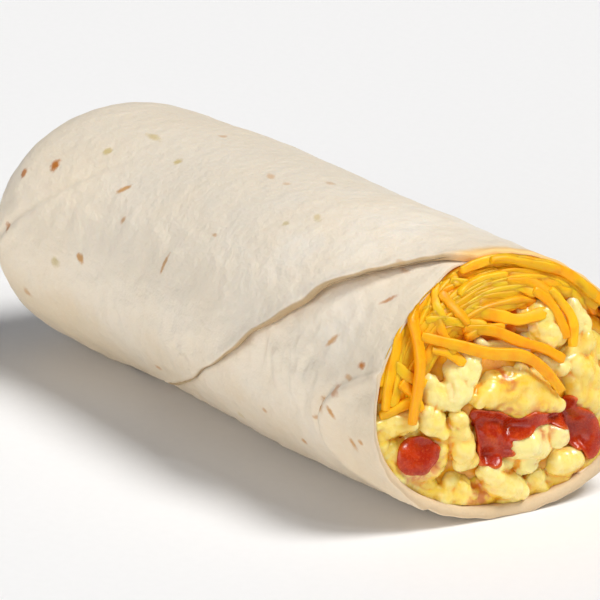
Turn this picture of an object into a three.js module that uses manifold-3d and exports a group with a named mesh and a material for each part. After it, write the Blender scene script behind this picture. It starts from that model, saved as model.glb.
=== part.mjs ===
import * as THREE from "three";
import { mergeVertices } from "three/addons/utils/BufferGeometryUtils.js";
import Module from "manifold-3d";

const wasm = await Module();
wasm.setup();

// A burrito lying down. Millimetres and degrees. x runs from the folded end to the open mouth,
// y from the front side to the back side, z up from the surface that it lies on.
// Angles go round the roll: 0 at the back, 90 on top, 180 at the front, 270 underneath.

// The roll
const foldedEndX = -71.9;
const foldedEndLength = 19.8;
const foldedEndRoundness = 2.8;
const endRings = { first: 0.08, steps: 6 };
const halfWidth = 28.3;
const halfHeight = 25.5;
const sag = 0.8;
const bend = { y: 1.3, x: -20, span: 22 };
const farEnd = { y: -1.4, wider: 0.9, lower: 1, raised: 1.5, fromX: -22, toX: -62 };

// The open mouth, which is wider, leans over and slopes back towards its top
const mouthX = 70.6;
const mouthStartX = 38;
const mouth = { wider: 1.6, lower: 0.9, raised: 0.7, shiftY: 3.3, lean: 0.9, pear: 0.12 };
const rim = { topSlope: 2.6, topDip: 2.4, bottomSlope: 0.6, skew: 1.2 };
const rimNotch = { depth: 2, angle: 103, spread: 14 };
const innerRim = { step: 1.5, fromBack: [-60, -10], toTop: [60, 105] };

// The tortilla
const sheet = 1.7;
const wall = 3;
const innerLayersIn = 0.3;
const shellRings = 15;
const hollowRings = 5;
const mouthFlare = { wider: 0.7, atBack: 1.9, fromX: 52, toBack: [-50, 10], toFront: [85, 125] };
const cavityEndX = -63;
const cavityEndLength = 14;

// The outer flap: its free edge starts on top of the mouth and runs down the front to underneath
const flapStartAngle = -60;
const flapEndAngle = 262;
const flapStartX = -70.9;
const flapEdge = { x: 65, angle: 96, turn: 119, slope: 44, steepening: 22 };
const flapRoot = { depth: 0.4, dive: 0.6, columns: 3 };
const flapWinding = { top: [60, 100], underneath: [180, 245] };
const flapPress = { least: 0.25, share: 0.75, angles: [170, 215], x: [5, 45] };
const flapRows = { count: 16, crowding: 1.7, atEdge: [6, 2.4, 0] };
const flapColumns = 41;
const flapLift = { base: 0.1, extra: 0.9, angle: 150, spread: 30, reach: 3.5, from: [92, 110] };

// Creases and shallow dents in the tortilla
const longDents = { depth: 0.22, length: 8.5, twist: 31 };
const shortDents = { depth: 0.14, length: 5.2, start: 1.7 };
const endCrease = { x: -57, angle: 173, slope: 0.5, depth: 0.8, width: 1.8, middle: 157, fade: 25 };
const frontCrease = { x: 53, angle: 198, curve: 0.0123 };
const frontRidge = { height: 0.9, width: 2.4, ahead: 1.5, middle: 193, fade: 30 };

// The filling
const gap = 0.3;
const beyondEnds = 90;
const coreRings = 3;
const faceX = 72;
const faceRecess = 2.5;
const faceDepth = 14;
const faceRings = [1, 0.9, 0.72, 0.5, 0.26];
const faceEdge = 1.15;
const mouthCentre = { y: 2.8, z: 24.6, halfY: 26.3, halfZ: 21.5 };
const shredWidth = 2.4;
const shredDepth = 2;
const shredSides = 6;
const cornersOut = 1.08;
const shredPiece = 4;
const streakStart = { x: -45, share: 0.35 };
const streakEnd = { x: 70, fullFrom: 4 };
const streakSway = { across: 0.8, length: 14 };

// Where the cheese lies on the egg, seen in the mouth: y, z from the front side to the back side
const cheeseTop = 60;
const cheeseFloor = [
  [-40, 22], [-23.7, 22.5], [-15.7, 25], [-14.2, 31], [-8.9, 33.9],
  [1.1, 33.5], [7, 38.5], [16.7, 38.5], [25.5, 33.2], [40, 30],
];

// The egg curds that show: place in the mouth, half width, half height and tilt
const curds = [
  { y: -11.6, z: 26.1, across: 3.2, up: 3.4, tilt: 10 },
  { y: -5.6, z: 27.2, across: 5.4, up: 2.9, tilt: 55 },
  { y: 4.6, z: 23.6, across: 9.8, up: 4.9, tilt: 4 },
  { y: 14.9, z: 32.6, across: 5.4, up: 6.2, tilt: -20 },
  { y: 22.9, z: 31.4, across: 3.9, up: 4.8, tilt: -25 },
  { y: 20.8, z: 21.4, across: 5.6, up: 5.8, tilt: 20 },
  { y: -20.4, z: 21.2, across: 4.8, up: 3, tilt: 8 },
  { y: -12.7, z: 20, across: 4, up: 3.6, tilt: -30 },
  { y: -12.2, z: 11.6, across: 5.2, up: 3.6, tilt: 25 },
  { y: -6.1, z: 15.5, across: 3, up: 6.2, tilt: -6 },
  { y: -6.9, z: 8.4, across: 3.4, up: 2.7, tilt: 0 },
  { y: 3.1, z: 7, across: 5.4, up: 3.9, tilt: -25 },
  { y: 10, z: 12.1, across: 6.8, up: 5, tilt: 20 },
  { y: 18.3, z: 8, across: 4.9, up: 3.2, tilt: -15 },
  { y: 11, z: 5.9, across: 3, up: 2.4, tilt: 0 },
  { y: 23.6, z: 14, across: 3.4, up: 3.4, tilt: 0 },
];

// The cheese shreds that show: ends in the mouth, sideways bow and height over the filling
const shreds = [
  { from: [-8.3, 46.1], to: [-17, 21.2], bow: -3.1, lift: 2 },
  { from: [-15.2, 40.2], to: [-22.3, 28.6], bow: -0.9, lift: 0.8 },
  { from: [-7.5, 42.8], to: [-4, 37.4], bow: -0.1, lift: 1.4 },
  { from: [-4, 41.8], to: [6.8, 43.6], bow: 0.8, lift: 1.3 },
  { from: [-13.3, 36.3], to: [14.3, 22.6], bow: 3.3, lift: 2.2 },
  { from: [-5.1, 36.9], to: [14.9, 28.2], bow: 1.1, lift: 1.3 },
  { from: [-2.5, 39.4], to: [12.8, 36.8], bow: -1.2, lift: 0.6 },
  { from: [11.6, 40.6], to: [16.5, 31.8], bow: 1.2, lift: 1.6 },
  { from: [15.2, 40], to: [17.7, 29.2], bow: 2, lift: 2 },
  { from: [-2.4, 45.6], to: [23.5, 35.5], bow: 1.7, lift: 0.9 },
  { from: [-6.3, 45.2], to: [13.3, 41.4], bow: 0.6, lift: 0.4 },
  { from: [-19.2, 32.1], to: [-13.2, 28.4], bow: -0.6, lift: 0.9 },
  { from: [-13, 36.2], to: [-4, 36.8], bow: 0.4, lift: 0.9 },
  { from: [-21.5, 24.4], to: [-15, 26], bow: 0.3, lift: 0.6 },
  { from: [-0.2, 40.5], to: [11.1, 40.2], bow: 0.2, lift: 0.8 },
  { from: [-17.5, 35.7], to: [-20, 25.5], bow: 0.6, lift: 0.9 },
];

// The sauce: the pool at the front side, and the two pools that meet behind it
const frontStreak = { y: -16.2, z: 15.1, halfY: 2.6, halfZ: 2.2 };
const frontPools = [{ y: -16.2, z: 15.1, across: 4.6, up: 3.5, tilt: 0 }];
const backStreak = { y: 6.4, z: 17.3, halfY: 5.2, halfZ: 1.6 };
const backPools = [
  { y: -0.6, z: 18.6, across: 4.8, up: 2.6, tilt: -12 },
  { y: -1.3, z: 14.6, across: 2.9, up: 3.2, tilt: 0 },
  { y: 8.2, z: 17.6, across: 5.8, up: 1.8, tilt: -4 },
  { y: 16.4, z: 15.6, across: 5.2, up: 2.8, tilt: -25 },
  { y: 21.6, z: 11.6, across: 2.9, up: 3.4, tilt: -10 },
];
const poolDepth = 2.6;
const curdDepth = 3.2;
const overEgg = -0.5;
const largeLump = 6;
const lumpUnevenness = { broad: 0.1, fine: 0.06 };

const colours = { tortilla: 0xe0d4c4, egg: 0xefdf8a, cheese: 0xf3b218, sauce: 0xb83424 };

const radians = THREE.MathUtils.degToRad;

// 0 below the first limit, 1 above the second, with a soft rise between them
function rise(value, from, to) {
  return THREE.MathUtils.smoothstep(value, from, to);
}

// A hump of height 1 that fades with the distance from its middle
function hump(distance, spread) {
  return Math.exp(-((distance / spread) ** 2));
}

// A point of the roll: offset is outwards from the outer layer of the tortilla
function roll(x, angle, offset, endX = foldedEndX, endLength = foldedEndLength) {
  const turn = radians(angle);
  const outward = THREE.MathUtils.clamp(1 - (x - endX) / endLength, 0, 1);
  const closing = (1 - outward ** foldedEndRoundness) ** (1 / foldedEndRoundness);
  const open = rise(x, mouthStartX, mouthX);
  const far = 1 - rise(x, farEnd.toX, farEnd.fromX);
  const middleZ = halfHeight - mouth.lower * open - farEnd.lower * far ** 2;
  const middleY = bend.y * hump(x - bend.x, bend.span) + farEnd.y * far + mouth.shiftY * open;
  const width = halfWidth + farEnd.wider * far + mouth.wider * open;
  const across = (width + offset) * (1 - mouth.pear * open * Math.sin(turn)) * Math.cos(turn);
  const lean = mouth.lean * open * Math.sin(turn);
  const up = (middleZ + offset) * Math.sin(turn);
  const y = middleY + (across - lean) * closing;
  const raised = mouth.raised * open + farEnd.raised * far ** 2;
  const z = middleZ - sag + raised + up * closing;
  return new THREE.Vector3(x, y, Math.max(0, z));
}

// Dents and creases of the outside
function relief(x, angle) {
  const turn = radians(angle);
  const dents =
    longDents.depth *
      Math.sin(x / longDents.length + 2 * Math.sin(turn)) *
      Math.sin(2 * turn + x / longDents.twist) +
    shortDents.depth * Math.sin(x / shortDents.length - 3 * Math.cos(turn) + shortDents.start);
  const endLine = endCrease.x + endCrease.slope * (endCrease.angle - angle);
  const endFade = hump(angle - endCrease.middle, endCrease.fade);
  const endFold = -endCrease.depth * endFade * hump(x - endLine, endCrease.width);
  const frontLine = frontCrease.x + frontCrease.curve * (frontCrease.angle - angle) ** 2;
  const ridgeFade = hump(angle - frontRidge.middle, frontRidge.fade);
  const ridgeLine = frontLine + frontRidge.ahead;
  const ridge = frontRidge.height * ridgeFade * hump(x - ridgeLine, frontRidge.width);
  return dents + endFold + ridge;
}

function rimX(angle) {
  const turn = radians(angle);
  const top = Math.max(0, Math.sin(turn));
  const bottom = Math.max(0, -Math.sin(turn));
  const back = rim.topSlope * top + rim.topDip * top ** 2;
  return mouthX - back + rim.bottomSlope * bottom + rim.skew * Math.cos(turn);
}

// The same angle counted from underneath: -90 underneath, 0 at the back, up to 270 underneath again
function fromUnderneath(angle) {
  return THREE.MathUtils.euclideanModulo(angle + 90, 360) - 90;
}

// The rim of the layer under the flap
function innerRimX(angle) {
  const round = fromUnderneath(angle);
  const atBack = rise(round, ...innerRim.fromBack) * (1 - rise(round, ...innerRim.toTop));
  const notch = rimNotch.depth * hump(round - rimNotch.angle, rimNotch.spread);
  return rimX(angle) - innerRim.step * atBack - notch;
}

// Where the flap ends: at the rim on the back side, and along its free edge on the front side
function flapEndX(angle) {
  const turned = Math.max(0, angle - flapEdge.angle) / flapEdge.turn;
  const freeEdge = flapEdge.x - flapEdge.slope * turned - flapEdge.steepening * turned ** 3;
  return Math.min(rimX(angle), angle > flapEdge.angle ? freeEdge : rimX(angle));
}

// How far the layer under the flap lies below it: the roll winds in by one sheet each turn
function windingStep(x, angle) {
  const round = fromUnderneath(angle);
  const windingIn = rise(round, ...flapWinding.top) * (1 - rise(round, ...flapWinding.underneath));
  const pressedFlat = flapPress.share * rise(round, ...flapPress.angles) * (1 - rise(x, ...flapPress.x));
  return flapPress.least + (sheet - flapPress.least) * windingIn * (1 - pressedFlat);
}

// How far the wall of the tortilla reaches inwards: it thins towards the mouth
function wallDepth(x, angle) {
  const round = fromUnderneath(angle);
  const atBack = rise(round, ...mouthFlare.toBack) * (1 - rise(round, ...mouthFlare.toFront));
  const thinner = THREE.MathUtils.lerp(mouthFlare.wider, mouthFlare.atBack, atBack);
  return wall - thinner * rise(x, mouthFlare.fromX, mouthX);
}

// The front of the filling, which bulges out of the mouth a little in its middle
function fillingFaceX(y, z) {
  const across = (y - mouthCentre.y) / mouthCentre.halfY;
  const up = (z - mouthCentre.z) / mouthCentre.halfZ;
  const edge = Math.min(faceEdge, across ** 2 + up ** 2);
  const angle = THREE.MathUtils.radToDeg(Math.atan2(up, across));
  return faceX * (1 - edge) + (rimX(angle) - faceRecess) * edge;
}

// A closed mesh as a solid, turned the right way out
function solidOf(geometry) {
  const bare = geometry.clone();
  bare.deleteAttribute("normal");
  bare.deleteAttribute("uv");
  const merged = mergeVertices(bare, 1e-4);
  const vertProperties = new Float32Array(merged.attributes.position.array);
  const triVerts = new Uint32Array(merged.index.array);
  const solid = new wasm.Manifold(new wasm.Mesh({ numProp: 3, vertProperties, triVerts }));
  if (solid.volume() > 0) {
    return solid;
  }
  triVerts.reverse();
  return new wasm.Manifold(new wasm.Mesh({ numProp: 3, vertProperties, triVerts }));
}

function geometryOf(points, triangles) {
  const geometry = new THREE.BufferGeometry().setFromPoints(points);
  geometry.setIndex(triangles.flat());
  return geometry;
}

// A solid through closed rings of points, with a fan over its first and last ring
function solidFromRings(rings) {
  const count = rings[0].length;
  const points = rings.flat();
  const triangles = [];
  for (let ring = 0; ring < rings.length - 1; ring += 1) {
    for (let i = 0; i < count; i += 1) {
      const a = ring * count + i;
      const b = ring * count + ((i + 1) % count);
      triangles.push([a, b, b + count], [a, b + count, a + count]);
    }
  }
  [rings[0], rings.at(-1)].forEach((ring, end) => {
    const middle = new THREE.Vector3();
    ring.forEach((point) => middle.addScaledVector(point, 1 / count));
    points.push(middle);
    const first = end * (rings.length - 1) * count;
    for (let i = 0; i < count; i += 1) {
      const pair = [first + i, first + ((i + 1) % count)];
      triangles.push(end ? [...pair, points.length - 1] : [...pair.reverse(), points.length - 1]);
    }
  });
  return solidOf(geometryOf(points, triangles));
}

// A slab between two grids of points, closed all round its edges
function solidFromSlab(outer, inner) {
  const rows = outer.length;
  const columns = outer[0].length;
  const points = [...outer.flat(), ...inner.flat()];
  const under = rows * columns;
  const triangles = [];
  const quad = (a, b, c, d) => triangles.push([a, b, c], [a, c, d]);
  for (let row = 0; row < rows - 1; row += 1) {
    for (let column = 0; column < columns - 1; column += 1) {
      const a = row * columns + column;
      quad(a, a + 1, a + 1 + columns, a + columns);
      quad(under + a, under + a + columns, under + a + 1 + columns, under + a + 1);
    }
  }
  for (let column = 0; column < columns - 1; column += 1) {
    const last = (rows - 1) * columns + column;
    quad(column, under + column, under + column + 1, column + 1);
    quad(last, last + 1, under + last + 1, under + last);
  }
  for (let row = 0; row < rows - 1; row += 1) {
    const start = row * columns;
    const end = start + columns - 1;
    quad(start, start + columns, under + start + columns, under + start);
    quad(end, under + end, under + end + columns, end + columns);
  }
  return solidOf(geometryOf(points, triangles));
}

function numbers(from, to, steps) {
  return Array.from({ length: steps + 1 }, (_, i) => from + ((to - from) * i) / steps);
}

// Places along the roll: close together where its end rounds off
function stations(endX, endLength, toX, steps) {
  const turns = numbers(endRings.first, 1, endRings.steps).map((share) => (share * Math.PI) / 2);
  const rounded = turns.map((turn) => endX + endLength * (1 - Math.cos(turn)));
  return [...rounded, ...numbers(endX + endLength, toX, steps).slice(1)];
}

const anglesRound = numbers(0, 360, 48).slice(0, -1);
const fillingAngles = numbers(0, 360, 30).slice(0, -1);

// The inner layers of the tortilla, still solid, up to the rim
function innerLayers() {
  const rings = stations(foldedEndX + innerLayersIn, foldedEndLength, mouthX, shellRings).map((x) =>
    anglesRound.map((angle) => {
      const atRim = x + (innerRimX(angle) - mouthX) * rise(x, mouthStartX, mouthX);
      return roll(atRim, angle, relief(atRim, angle) - windingStep(atRim, angle));
    }),
  );
  return solidFromRings(rings);
}

// The outer layer, which lifts a little along its free edge
function outerFlap() {
  const columns = numbers(flapStartAngle, flapEndAngle, flapColumns);
  const bodyRows = flapRows.count - flapRows.atEdge.length + 1;
  const grid = (inner) =>
    columns.map((angle, column) =>
      numbers(0, 1, flapRows.count).map((_, row) => {
        const endX = flapEndX(angle);
        const share = Math.min(1, row / bodyRows) ** flapRows.crowding;
        const inBody = flapStartX + (endX - flapRows.atEdge[0] - flapStartX) * share;
        const x = row <= bodyRows ? inBody : endX - flapRows.atEdge[row - bodyRows];
        const open = rise(angle, ...flapLift.from) * hump(endX - x, flapLift.reach);
        const lift = flapLift.base + flapLift.extra * hump(angle - flapLift.angle, flapLift.spread);
        const root = flapRoot.dive * (1 - rise(column, 0, flapRoot.columns));
        const under = inner ? sheet + flapRoot.depth * (1 - open) : root;
        return roll(x, angle, relief(x, angle) + lift * open - under - (inner ? root : 0));
      }),
    );
  return solidFromSlab(grid(false), grid(true));
}

// The space inside the tortilla, from its folded end out through the mouth
function inside(clearance) {
  const endX = cavityEndX + clearance;
  const rings = [...stations(endX, cavityEndLength, mouthX, hollowRings), beyondEnds].map((x) =>
    fillingAngles.map((angle) => roll(x, angle, -wallDepth(x, angle) - clearance, endX, cavityEndLength)),
  );
  return solidFromRings(rings);
}

// The packed filling up to its bulging front
function fillingCore() {
  const endX = cavityEndX + gap;
  const ring = (x, angle) => roll(x, angle, -wallDepth(x, angle) - gap, endX, cavityEndLength);
  const rings = stations(endX, cavityEndLength, mouthX - faceDepth, coreRings).map((x) =>
    fillingAngles.map((angle) => ring(x, angle)),
  );
  const middle = new THREE.Vector3(faceX, mouthCentre.y, mouthCentre.z);
  for (const share of faceRings) {
    rings.push(
      fillingAngles.map((angle) => {
        const point = ring(rimX(angle) - faceRecess, angle).lerp(middle, 1 - share);
        point.x = fillingFaceX(point.y, point.z);
        return point;
      }),
    );
  }
  return solidFromRings(rings);
}

// A rounded lump in the front of the filling
function lump({ y, z, across, up, tilt }, depth, grow, seed) {
  const geometry = new THREE.IcosahedronGeometry(1, across > largeLump ? 2 : 1);
  const places = geometry.attributes.position;
  const point = new THREE.Vector3();
  for (let i = 0; i < places.count; i += 1) {
    point.fromBufferAttribute(places, i);
    const broad = lumpUnevenness.broad * Math.sin(2.6 * point.y + seed) * Math.cos(2.2 * point.z - seed);
    const fine = lumpUnevenness.fine * Math.sin(4 * point.x + seed);
    point.multiplyScalar(1 + broad + fine);
    places.setXYZ(i, point.x * (depth + grow), point.y * (across + grow), point.z * (up + grow));
  }
  geometry.rotateX(radians(tilt));
  geometry.translate(fillingFaceX(y, z), y, z);
  return solidOf(geometry);
}

// A bent shred of cheese across the front of the filling
function shred({ from, to, bow, lift }, grow) {
  const start = new THREE.Vector2(...from);
  const end = new THREE.Vector2(...to);
  const run = end.clone().sub(start);
  const length = run.length();
  const side = new THREE.Vector2(-run.y, run.x).divideScalar(length);
  const path = numbers(-grow / length, 1 + grow / length, 6).map((share) => {
    const flat = start.clone().addScaledVector(run, share);
    flat.addScaledVector(side, 4 * bow * share * (1 - share));
    return new THREE.Vector3(fillingFaceX(flat.x, flat.y) + lift, flat.x, flat.y);
  });
  const section = new THREE.Shape(
    numbers(30, 390, shredSides).slice(0, -1).map((angle) => {
      const turn = radians(angle);
      const across = (shredWidth / 2 + grow) * Math.cos(turn);
      const deep = (shredDepth / 2 + grow) * Math.sin(turn);
      return new THREE.Vector2(deep, across).multiplyScalar(cornersOut);
    }),
  );
  const steps = Math.max(4, Math.round(length / shredPiece));
  const extrudePath = new THREE.CatmullRomCurve3(path);
  return solidOf(new THREE.ExtrudeGeometry(section, { steps, extrudePath, bevelEnabled: false }));
}

// Everything above the cheese floor, as a block as long as the burrito
function aboveCheeseFloor(shiftY, shiftZ) {
  const outline = cheeseFloor.map(([y, z]) => new THREE.Vector2(y + shiftY, z + shiftZ));
  outline.push(new THREE.Vector2(cheeseFloor.at(-1)[0], cheeseTop));
  outline.push(new THREE.Vector2(cheeseFloor[0][0], cheeseTop));
  const shape = new THREE.Shape(outline);
  const geometry = new THREE.ExtrudeGeometry(shape, { depth: 2 * beyondEnds, bevelEnabled: false });
  const alongRoll = new THREE.Matrix4().makeBasis(
    new THREE.Vector3(0, 1, 0),
    new THREE.Vector3(0, 0, 1),
    new THREE.Vector3(1, 0, 0),
  );
  geometry.applyMatrix4(alongRoll);
  geometry.translate(-beyondEnds, 0, 0);
  return solidOf(geometry);
}

// A streak of sauce that runs back from the mouth through the filling
function streak({ y, z, halfY, halfZ }, grow) {
  const rings = numbers(streakStart.x - grow, streakEnd.x, 5).map((x, i) => {
    const taper = streakStart.share + (1 - streakStart.share) * rise(i, 0, streakEnd.fullFrom);
    const sway = streakSway.across * Math.sin(x / streakSway.length) * taper;
    return numbers(0, 360, 10).slice(0, -1).map((angle) => {
      const turn = radians(angle);
      const sideways = (halfY * taper + grow) * Math.cos(turn);
      const up = (halfZ * taper + grow) * Math.sin(turn);
      return new THREE.Vector3(x, y + sideways + sway, z + up);
    });
  });
  return solidFromRings(rings);
}

function join(solids) {
  return solids.reduce((whole, next) => whole.add(next));
}

// The one whole piece of a cut solid, without scraps or sealed hollows
function wholePiece(solid) {
  const pieces = solid.decompose();
  return pieces.reduce((best, next) => (next.volume() > best.volume() ? next : best));
}

function sauce(streakPlace, pools, grow) {
  const lumps = pools.map((pool, i) => lump(pool, poolDepth, grow, 3 + i));
  return join([streak(streakPlace, grow), ...lumps]);
}

function meshOf(name, solid, material) {
  const { numProp, vertProperties, triVerts } = solid.getMesh();
  const geometry = new THREE.BufferGeometry();
  geometry.setAttribute("position", new THREE.BufferAttribute(vertProperties, numProp));
  geometry.setIndex(new THREE.BufferAttribute(triVerts, 1));
  geometry.computeVertexNormals();
  const mesh = new THREE.Mesh(geometry, new THREE.MeshStandardMaterial({ metalness: 0, ...material }));
  mesh.name = name;
  return mesh;
}

const hollow = inside(0);
const fillingSpace = inside(gap);
const core = fillingCore();

const tortilla = wholePiece(innerLayers().add(outerFlap()).subtract(hollow));

const frontSauce = sauce(frontStreak, frontPools, 0).intersect(fillingSpace);
const backSauce = sauce(backStreak, backPools, 0).intersect(fillingSpace);
const sauceRoom = sauce(frontStreak, frontPools, gap).add(sauce(backStreak, backPools, gap));

const cheeseHeap = join([core.intersect(aboveCheeseFloor(0, 0)), ...shreds.map((s) => shred(s, 0))]);
const cheeseRoom = join([aboveCheeseFloor(gap, overEgg), ...shreds.map((s) => shred(s, gap))]);
const cheese = cheeseHeap.intersect(fillingSpace).subtract(sauceRoom);

const eggHeap = join([core, ...curds.map((curd, i) => lump(curd, curdDepth, 0, i))]);
const egg = eggHeap.intersect(fillingSpace).subtract(cheeseRoom).subtract(sauceRoom);

const burrito = new THREE.Group();
burrito.name = "burrito";
burrito.add(
  meshOf("tortilla", tortilla, { color: colours.tortilla, roughness: 0.75 }),
  meshOf("egg", wholePiece(egg), { color: colours.egg, roughness: 0.35 }),
  meshOf("cheese", wholePiece(cheese), { color: colours.cheese, roughness: 0.4 }),
  meshOf("sauce_front", wholePiece(frontSauce), { color: colours.sauce, roughness: 0.2 }),
  meshOf("sauce_back", wholePiece(backSauce), { color: colours.sauce, roughness: 0.2 }),
);

// The origin is under the middle of the whole burrito
const box = new THREE.Box3().setFromObject(burrito);
const middle = box.getCenter(new THREE.Vector3());
burrito.position.set(-middle.x, -middle.y, -box.min.z);

export default burrito;
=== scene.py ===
import math
import random

import bpy
import numpy as np
from mathutils import Matrix, Vector, noise


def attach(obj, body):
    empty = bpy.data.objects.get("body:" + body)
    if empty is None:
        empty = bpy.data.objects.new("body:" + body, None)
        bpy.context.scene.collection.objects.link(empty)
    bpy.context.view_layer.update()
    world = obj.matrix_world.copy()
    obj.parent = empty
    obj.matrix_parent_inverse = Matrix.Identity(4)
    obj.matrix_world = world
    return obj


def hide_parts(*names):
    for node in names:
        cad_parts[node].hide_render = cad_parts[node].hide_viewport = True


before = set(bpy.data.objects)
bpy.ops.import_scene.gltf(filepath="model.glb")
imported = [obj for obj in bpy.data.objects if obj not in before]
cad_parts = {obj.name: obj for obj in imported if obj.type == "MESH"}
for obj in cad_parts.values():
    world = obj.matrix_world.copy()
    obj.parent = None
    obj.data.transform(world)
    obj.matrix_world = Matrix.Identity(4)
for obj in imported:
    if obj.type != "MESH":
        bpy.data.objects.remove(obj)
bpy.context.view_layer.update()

# Lengths below are in millimetres, in the frame in which the roll's middle line is y = 0.
# Angles go round the roll: 0 at the back, 90 on top, 180 at the front, 270 underneath.
mm = 0.001
rollToFrame = Vector((-1.805, -1.654, 0))


def rise(value, low, high):  # from 0 at low to 1 at high, soft at both ends
    share = np.clip((value - low) / (high - low), 0, 1)
    return share * share * (3 - 2 * share)


def hump(distance, spread):  # 1 in the middle, fading to both sides
    return np.exp(-((distance / spread) ** 2))


def ripple(points, size, seed):  # soft random height, about -0.5 to 0.5, with lumps of that size
    shift = Vector((seed * 7.31, seed * 3.77, seed * 5.13))
    flat = np.asarray(points, float).reshape(-1, 3) / size
    heights = [noise.noise(Vector(point) + shift) for point in flat]
    return np.array(heights).reshape(np.shape(points)[:-1])


def tone(red, green, blue):  # a colour as seen on screen, as the linear one that a shader takes
    def linear(value):
        value /= 255
        return value / 12.92 if value <= 0.04045 else ((value + 0.055) / 1.055) ** 2.4
    return (linear(red), linear(green), linear(blue), 1)


def newPiece(name, points, faces):
    mesh = bpy.data.meshes.new(name)
    places = (np.asarray(points, float).reshape(-1, 3) + np.array(rollToFrame)) * mm
    mesh.from_pydata(places.tolist(), [], faces)
    mesh.validate()
    mesh.polygons.foreach_set("use_smooth", [True] * len(mesh.polygons))
    piece = bpy.data.objects.new(name, mesh)
    bpy.context.scene.collection.objects.link(piece)
    return piece


def paintPoints(piece, name, values):  # a number at each point, which the shader reads by its name
    layer = piece.data.attributes.new(name, "FLOAT", "POINT")
    layer.data.foreach_set("value", np.asarray(values, np.float32).ravel())


def gridFaces(rows, columns, first=0, closed=False):  # closed joins the last column to the first
    faces = []
    for row in range(rows - 1):
        for column in range(columns if closed else columns - 1):
            a = first + row * columns + column
            b = first + row * columns + (column + 1) % columns
            faces.append((a, b, b + columns, a + columns))
    return faces


def asPart(piece, node, material):  # the piece stands for that node and moves with the burrito
    piece.data.materials.clear()
    piece.data.materials.append(material)
    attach(piece, "root")
    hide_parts(node)
    print(piece.name, "made:", len(piece.data.polygons), "faces")


class Wire:  # one socket of a material, so that sums on it read as plain sums
    def __init__(self, recipe, socket):
        self.recipe = recipe
        self.socket = socket

    def calc(self, operation, first, second):
        return self.recipe.node("ShaderNodeMath", {"operation": operation}, {0: first, 1: second})

    def __add__(self, other):
        return self.calc("ADD", self, other)

    def __radd__(self, other):
        return self.calc("ADD", other, self)

    def __sub__(self, other):
        return self.calc("SUBTRACT", self, other)

    def __rsub__(self, other):
        return self.calc("SUBTRACT", other, self)

    def __mul__(self, other):
        return self.calc("MULTIPLY", self, other)

    def __rmul__(self, other):
        return self.calc("MULTIPLY", other, self)

    def __truediv__(self, other):
        return self.calc("DIVIDE", self, other)

    def __pow__(self, other):
        return self.calc("POWER", self, other)


class Recipe:  # one material and the nodes in it
    def __init__(self, name):
        self.material = bpy.data.materials.new(name)
        self.material.use_nodes = True
        self.tree = self.material.node_tree
        self.tree.nodes.clear()

    def node(self, kind, settings, inputs, output=0):
        made = self.tree.nodes.new(kind)
        for key, value in settings.items():
            setattr(made, key, value)
        for key, value in inputs.items():
            if isinstance(value, Wire):
                self.tree.links.new(value.socket, made.inputs[key])
            else:
                made.inputs[key].default_value = value
        return Wire(self, made.outputs[output])

    def place(self):  # millimetres in the part's frame
        spot = self.node("ShaderNodeTexCoord", {}, {}, "Object")
        return self.node("ShaderNodeVectorMath", {"operation": "SCALE"}, {0: spot, "Scale": 1 / mm})

    def attribute(self, name):
        return self.node("ShaderNodeAttribute", {"attribute_name": name}, {}, "Fac")

    def speckle(self, spot, size, detail=2.0, roughness=0.5, distortion=0.0):
        values = {"Vector": spot, "Scale": 1 / size, "Detail": detail, "Roughness": roughness}
        values["Distortion"] = distortion
        return self.node("ShaderNodeTexNoise", {}, values, 0)

    def step(self, value, low, high, start=0.0, end=1.0):
        values = {0: value, 1: low, 2: high, 3: start, 4: end}
        return self.node("ShaderNodeMapRange", {"interpolation_type": "SMOOTHSTEP"}, values)

    def mix(self, factor, first, second):
        return self.node("ShaderNodeMix", {"data_type": "RGBA"}, {0: factor, 6: first, 7: second}, 2)

    def bump(self, height, strength, distance, normal=None):
        values = {"Height": height, "Strength": strength, "Distance": distance * mm}
        if normal is not None:
            values["Normal"] = normal
        return self.node("ShaderNodeBump", {}, values)

    def finish(self, values):
        shader = self.node("ShaderNodeBsdfPrincipled", {}, values)
        output = self.tree.nodes.new("ShaderNodeOutputMaterial")
        self.tree.links.new(shader.socket, output.inputs["Surface"])
        return self.material


rollForm = {
    "endX": -71.9, "endLength": 19.8, "endRoundness": 2.8,
    "halfWidth": 28.3, "halfHeight": 25.5, "sag": 0.8,
    "bendY": 1.3, "bendX": -20, "bendSpan": 22,
    "farY": -1.4, "farWider": 0.9, "farLower": 1, "farRaised": 1.5, "farFromX": -22, "farToX": -62,
    "mouthX": 70.6, "mouthStartX": 38,
    "mouthWider": 1.6, "mouthLower": 0.9, "mouthRaised": 0.7,
    "mouthShift": 3.3, "mouthLean": 0.9, "mouthPear": 0.12,
}


def roll(x, angle, offset, endX=rollForm["endX"], endLength=rollForm["endLength"]):
    form = rollForm
    x, angle, offset = np.broadcast_arrays(x, angle, offset)
    turn = np.radians(angle)
    outward = np.clip(1 - (x - endX) / endLength, 0, 1)
    closing = (1 - outward ** form["endRoundness"]) ** (1 / form["endRoundness"])
    opening = rise(x, form["mouthStartX"], form["mouthX"])
    far = 1 - rise(x, form["farToX"], form["farFromX"])
    middleZ = form["halfHeight"] - form["mouthLower"] * opening - form["farLower"] * far ** 2
    middleY = form["bendY"] * hump(x - form["bendX"], form["bendSpan"])
    middleY = middleY + form["farY"] * far + form["mouthShift"] * opening
    width = form["halfWidth"] + form["farWider"] * far + form["mouthWider"] * opening
    across = (width + offset) * (1 - form["mouthPear"] * opening * np.sin(turn)) * np.cos(turn)
    lean = form["mouthLean"] * opening * np.sin(turn)
    y = middleY + (across - lean) * closing
    z = middleZ - form["sag"] + form["mouthRaised"] * opening + form["farRaised"] * far ** 2
    z = z + (middleZ + offset) * np.sin(turn) * closing
    return np.stack([x, y, np.maximum(0, z)], axis=-1)


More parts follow.
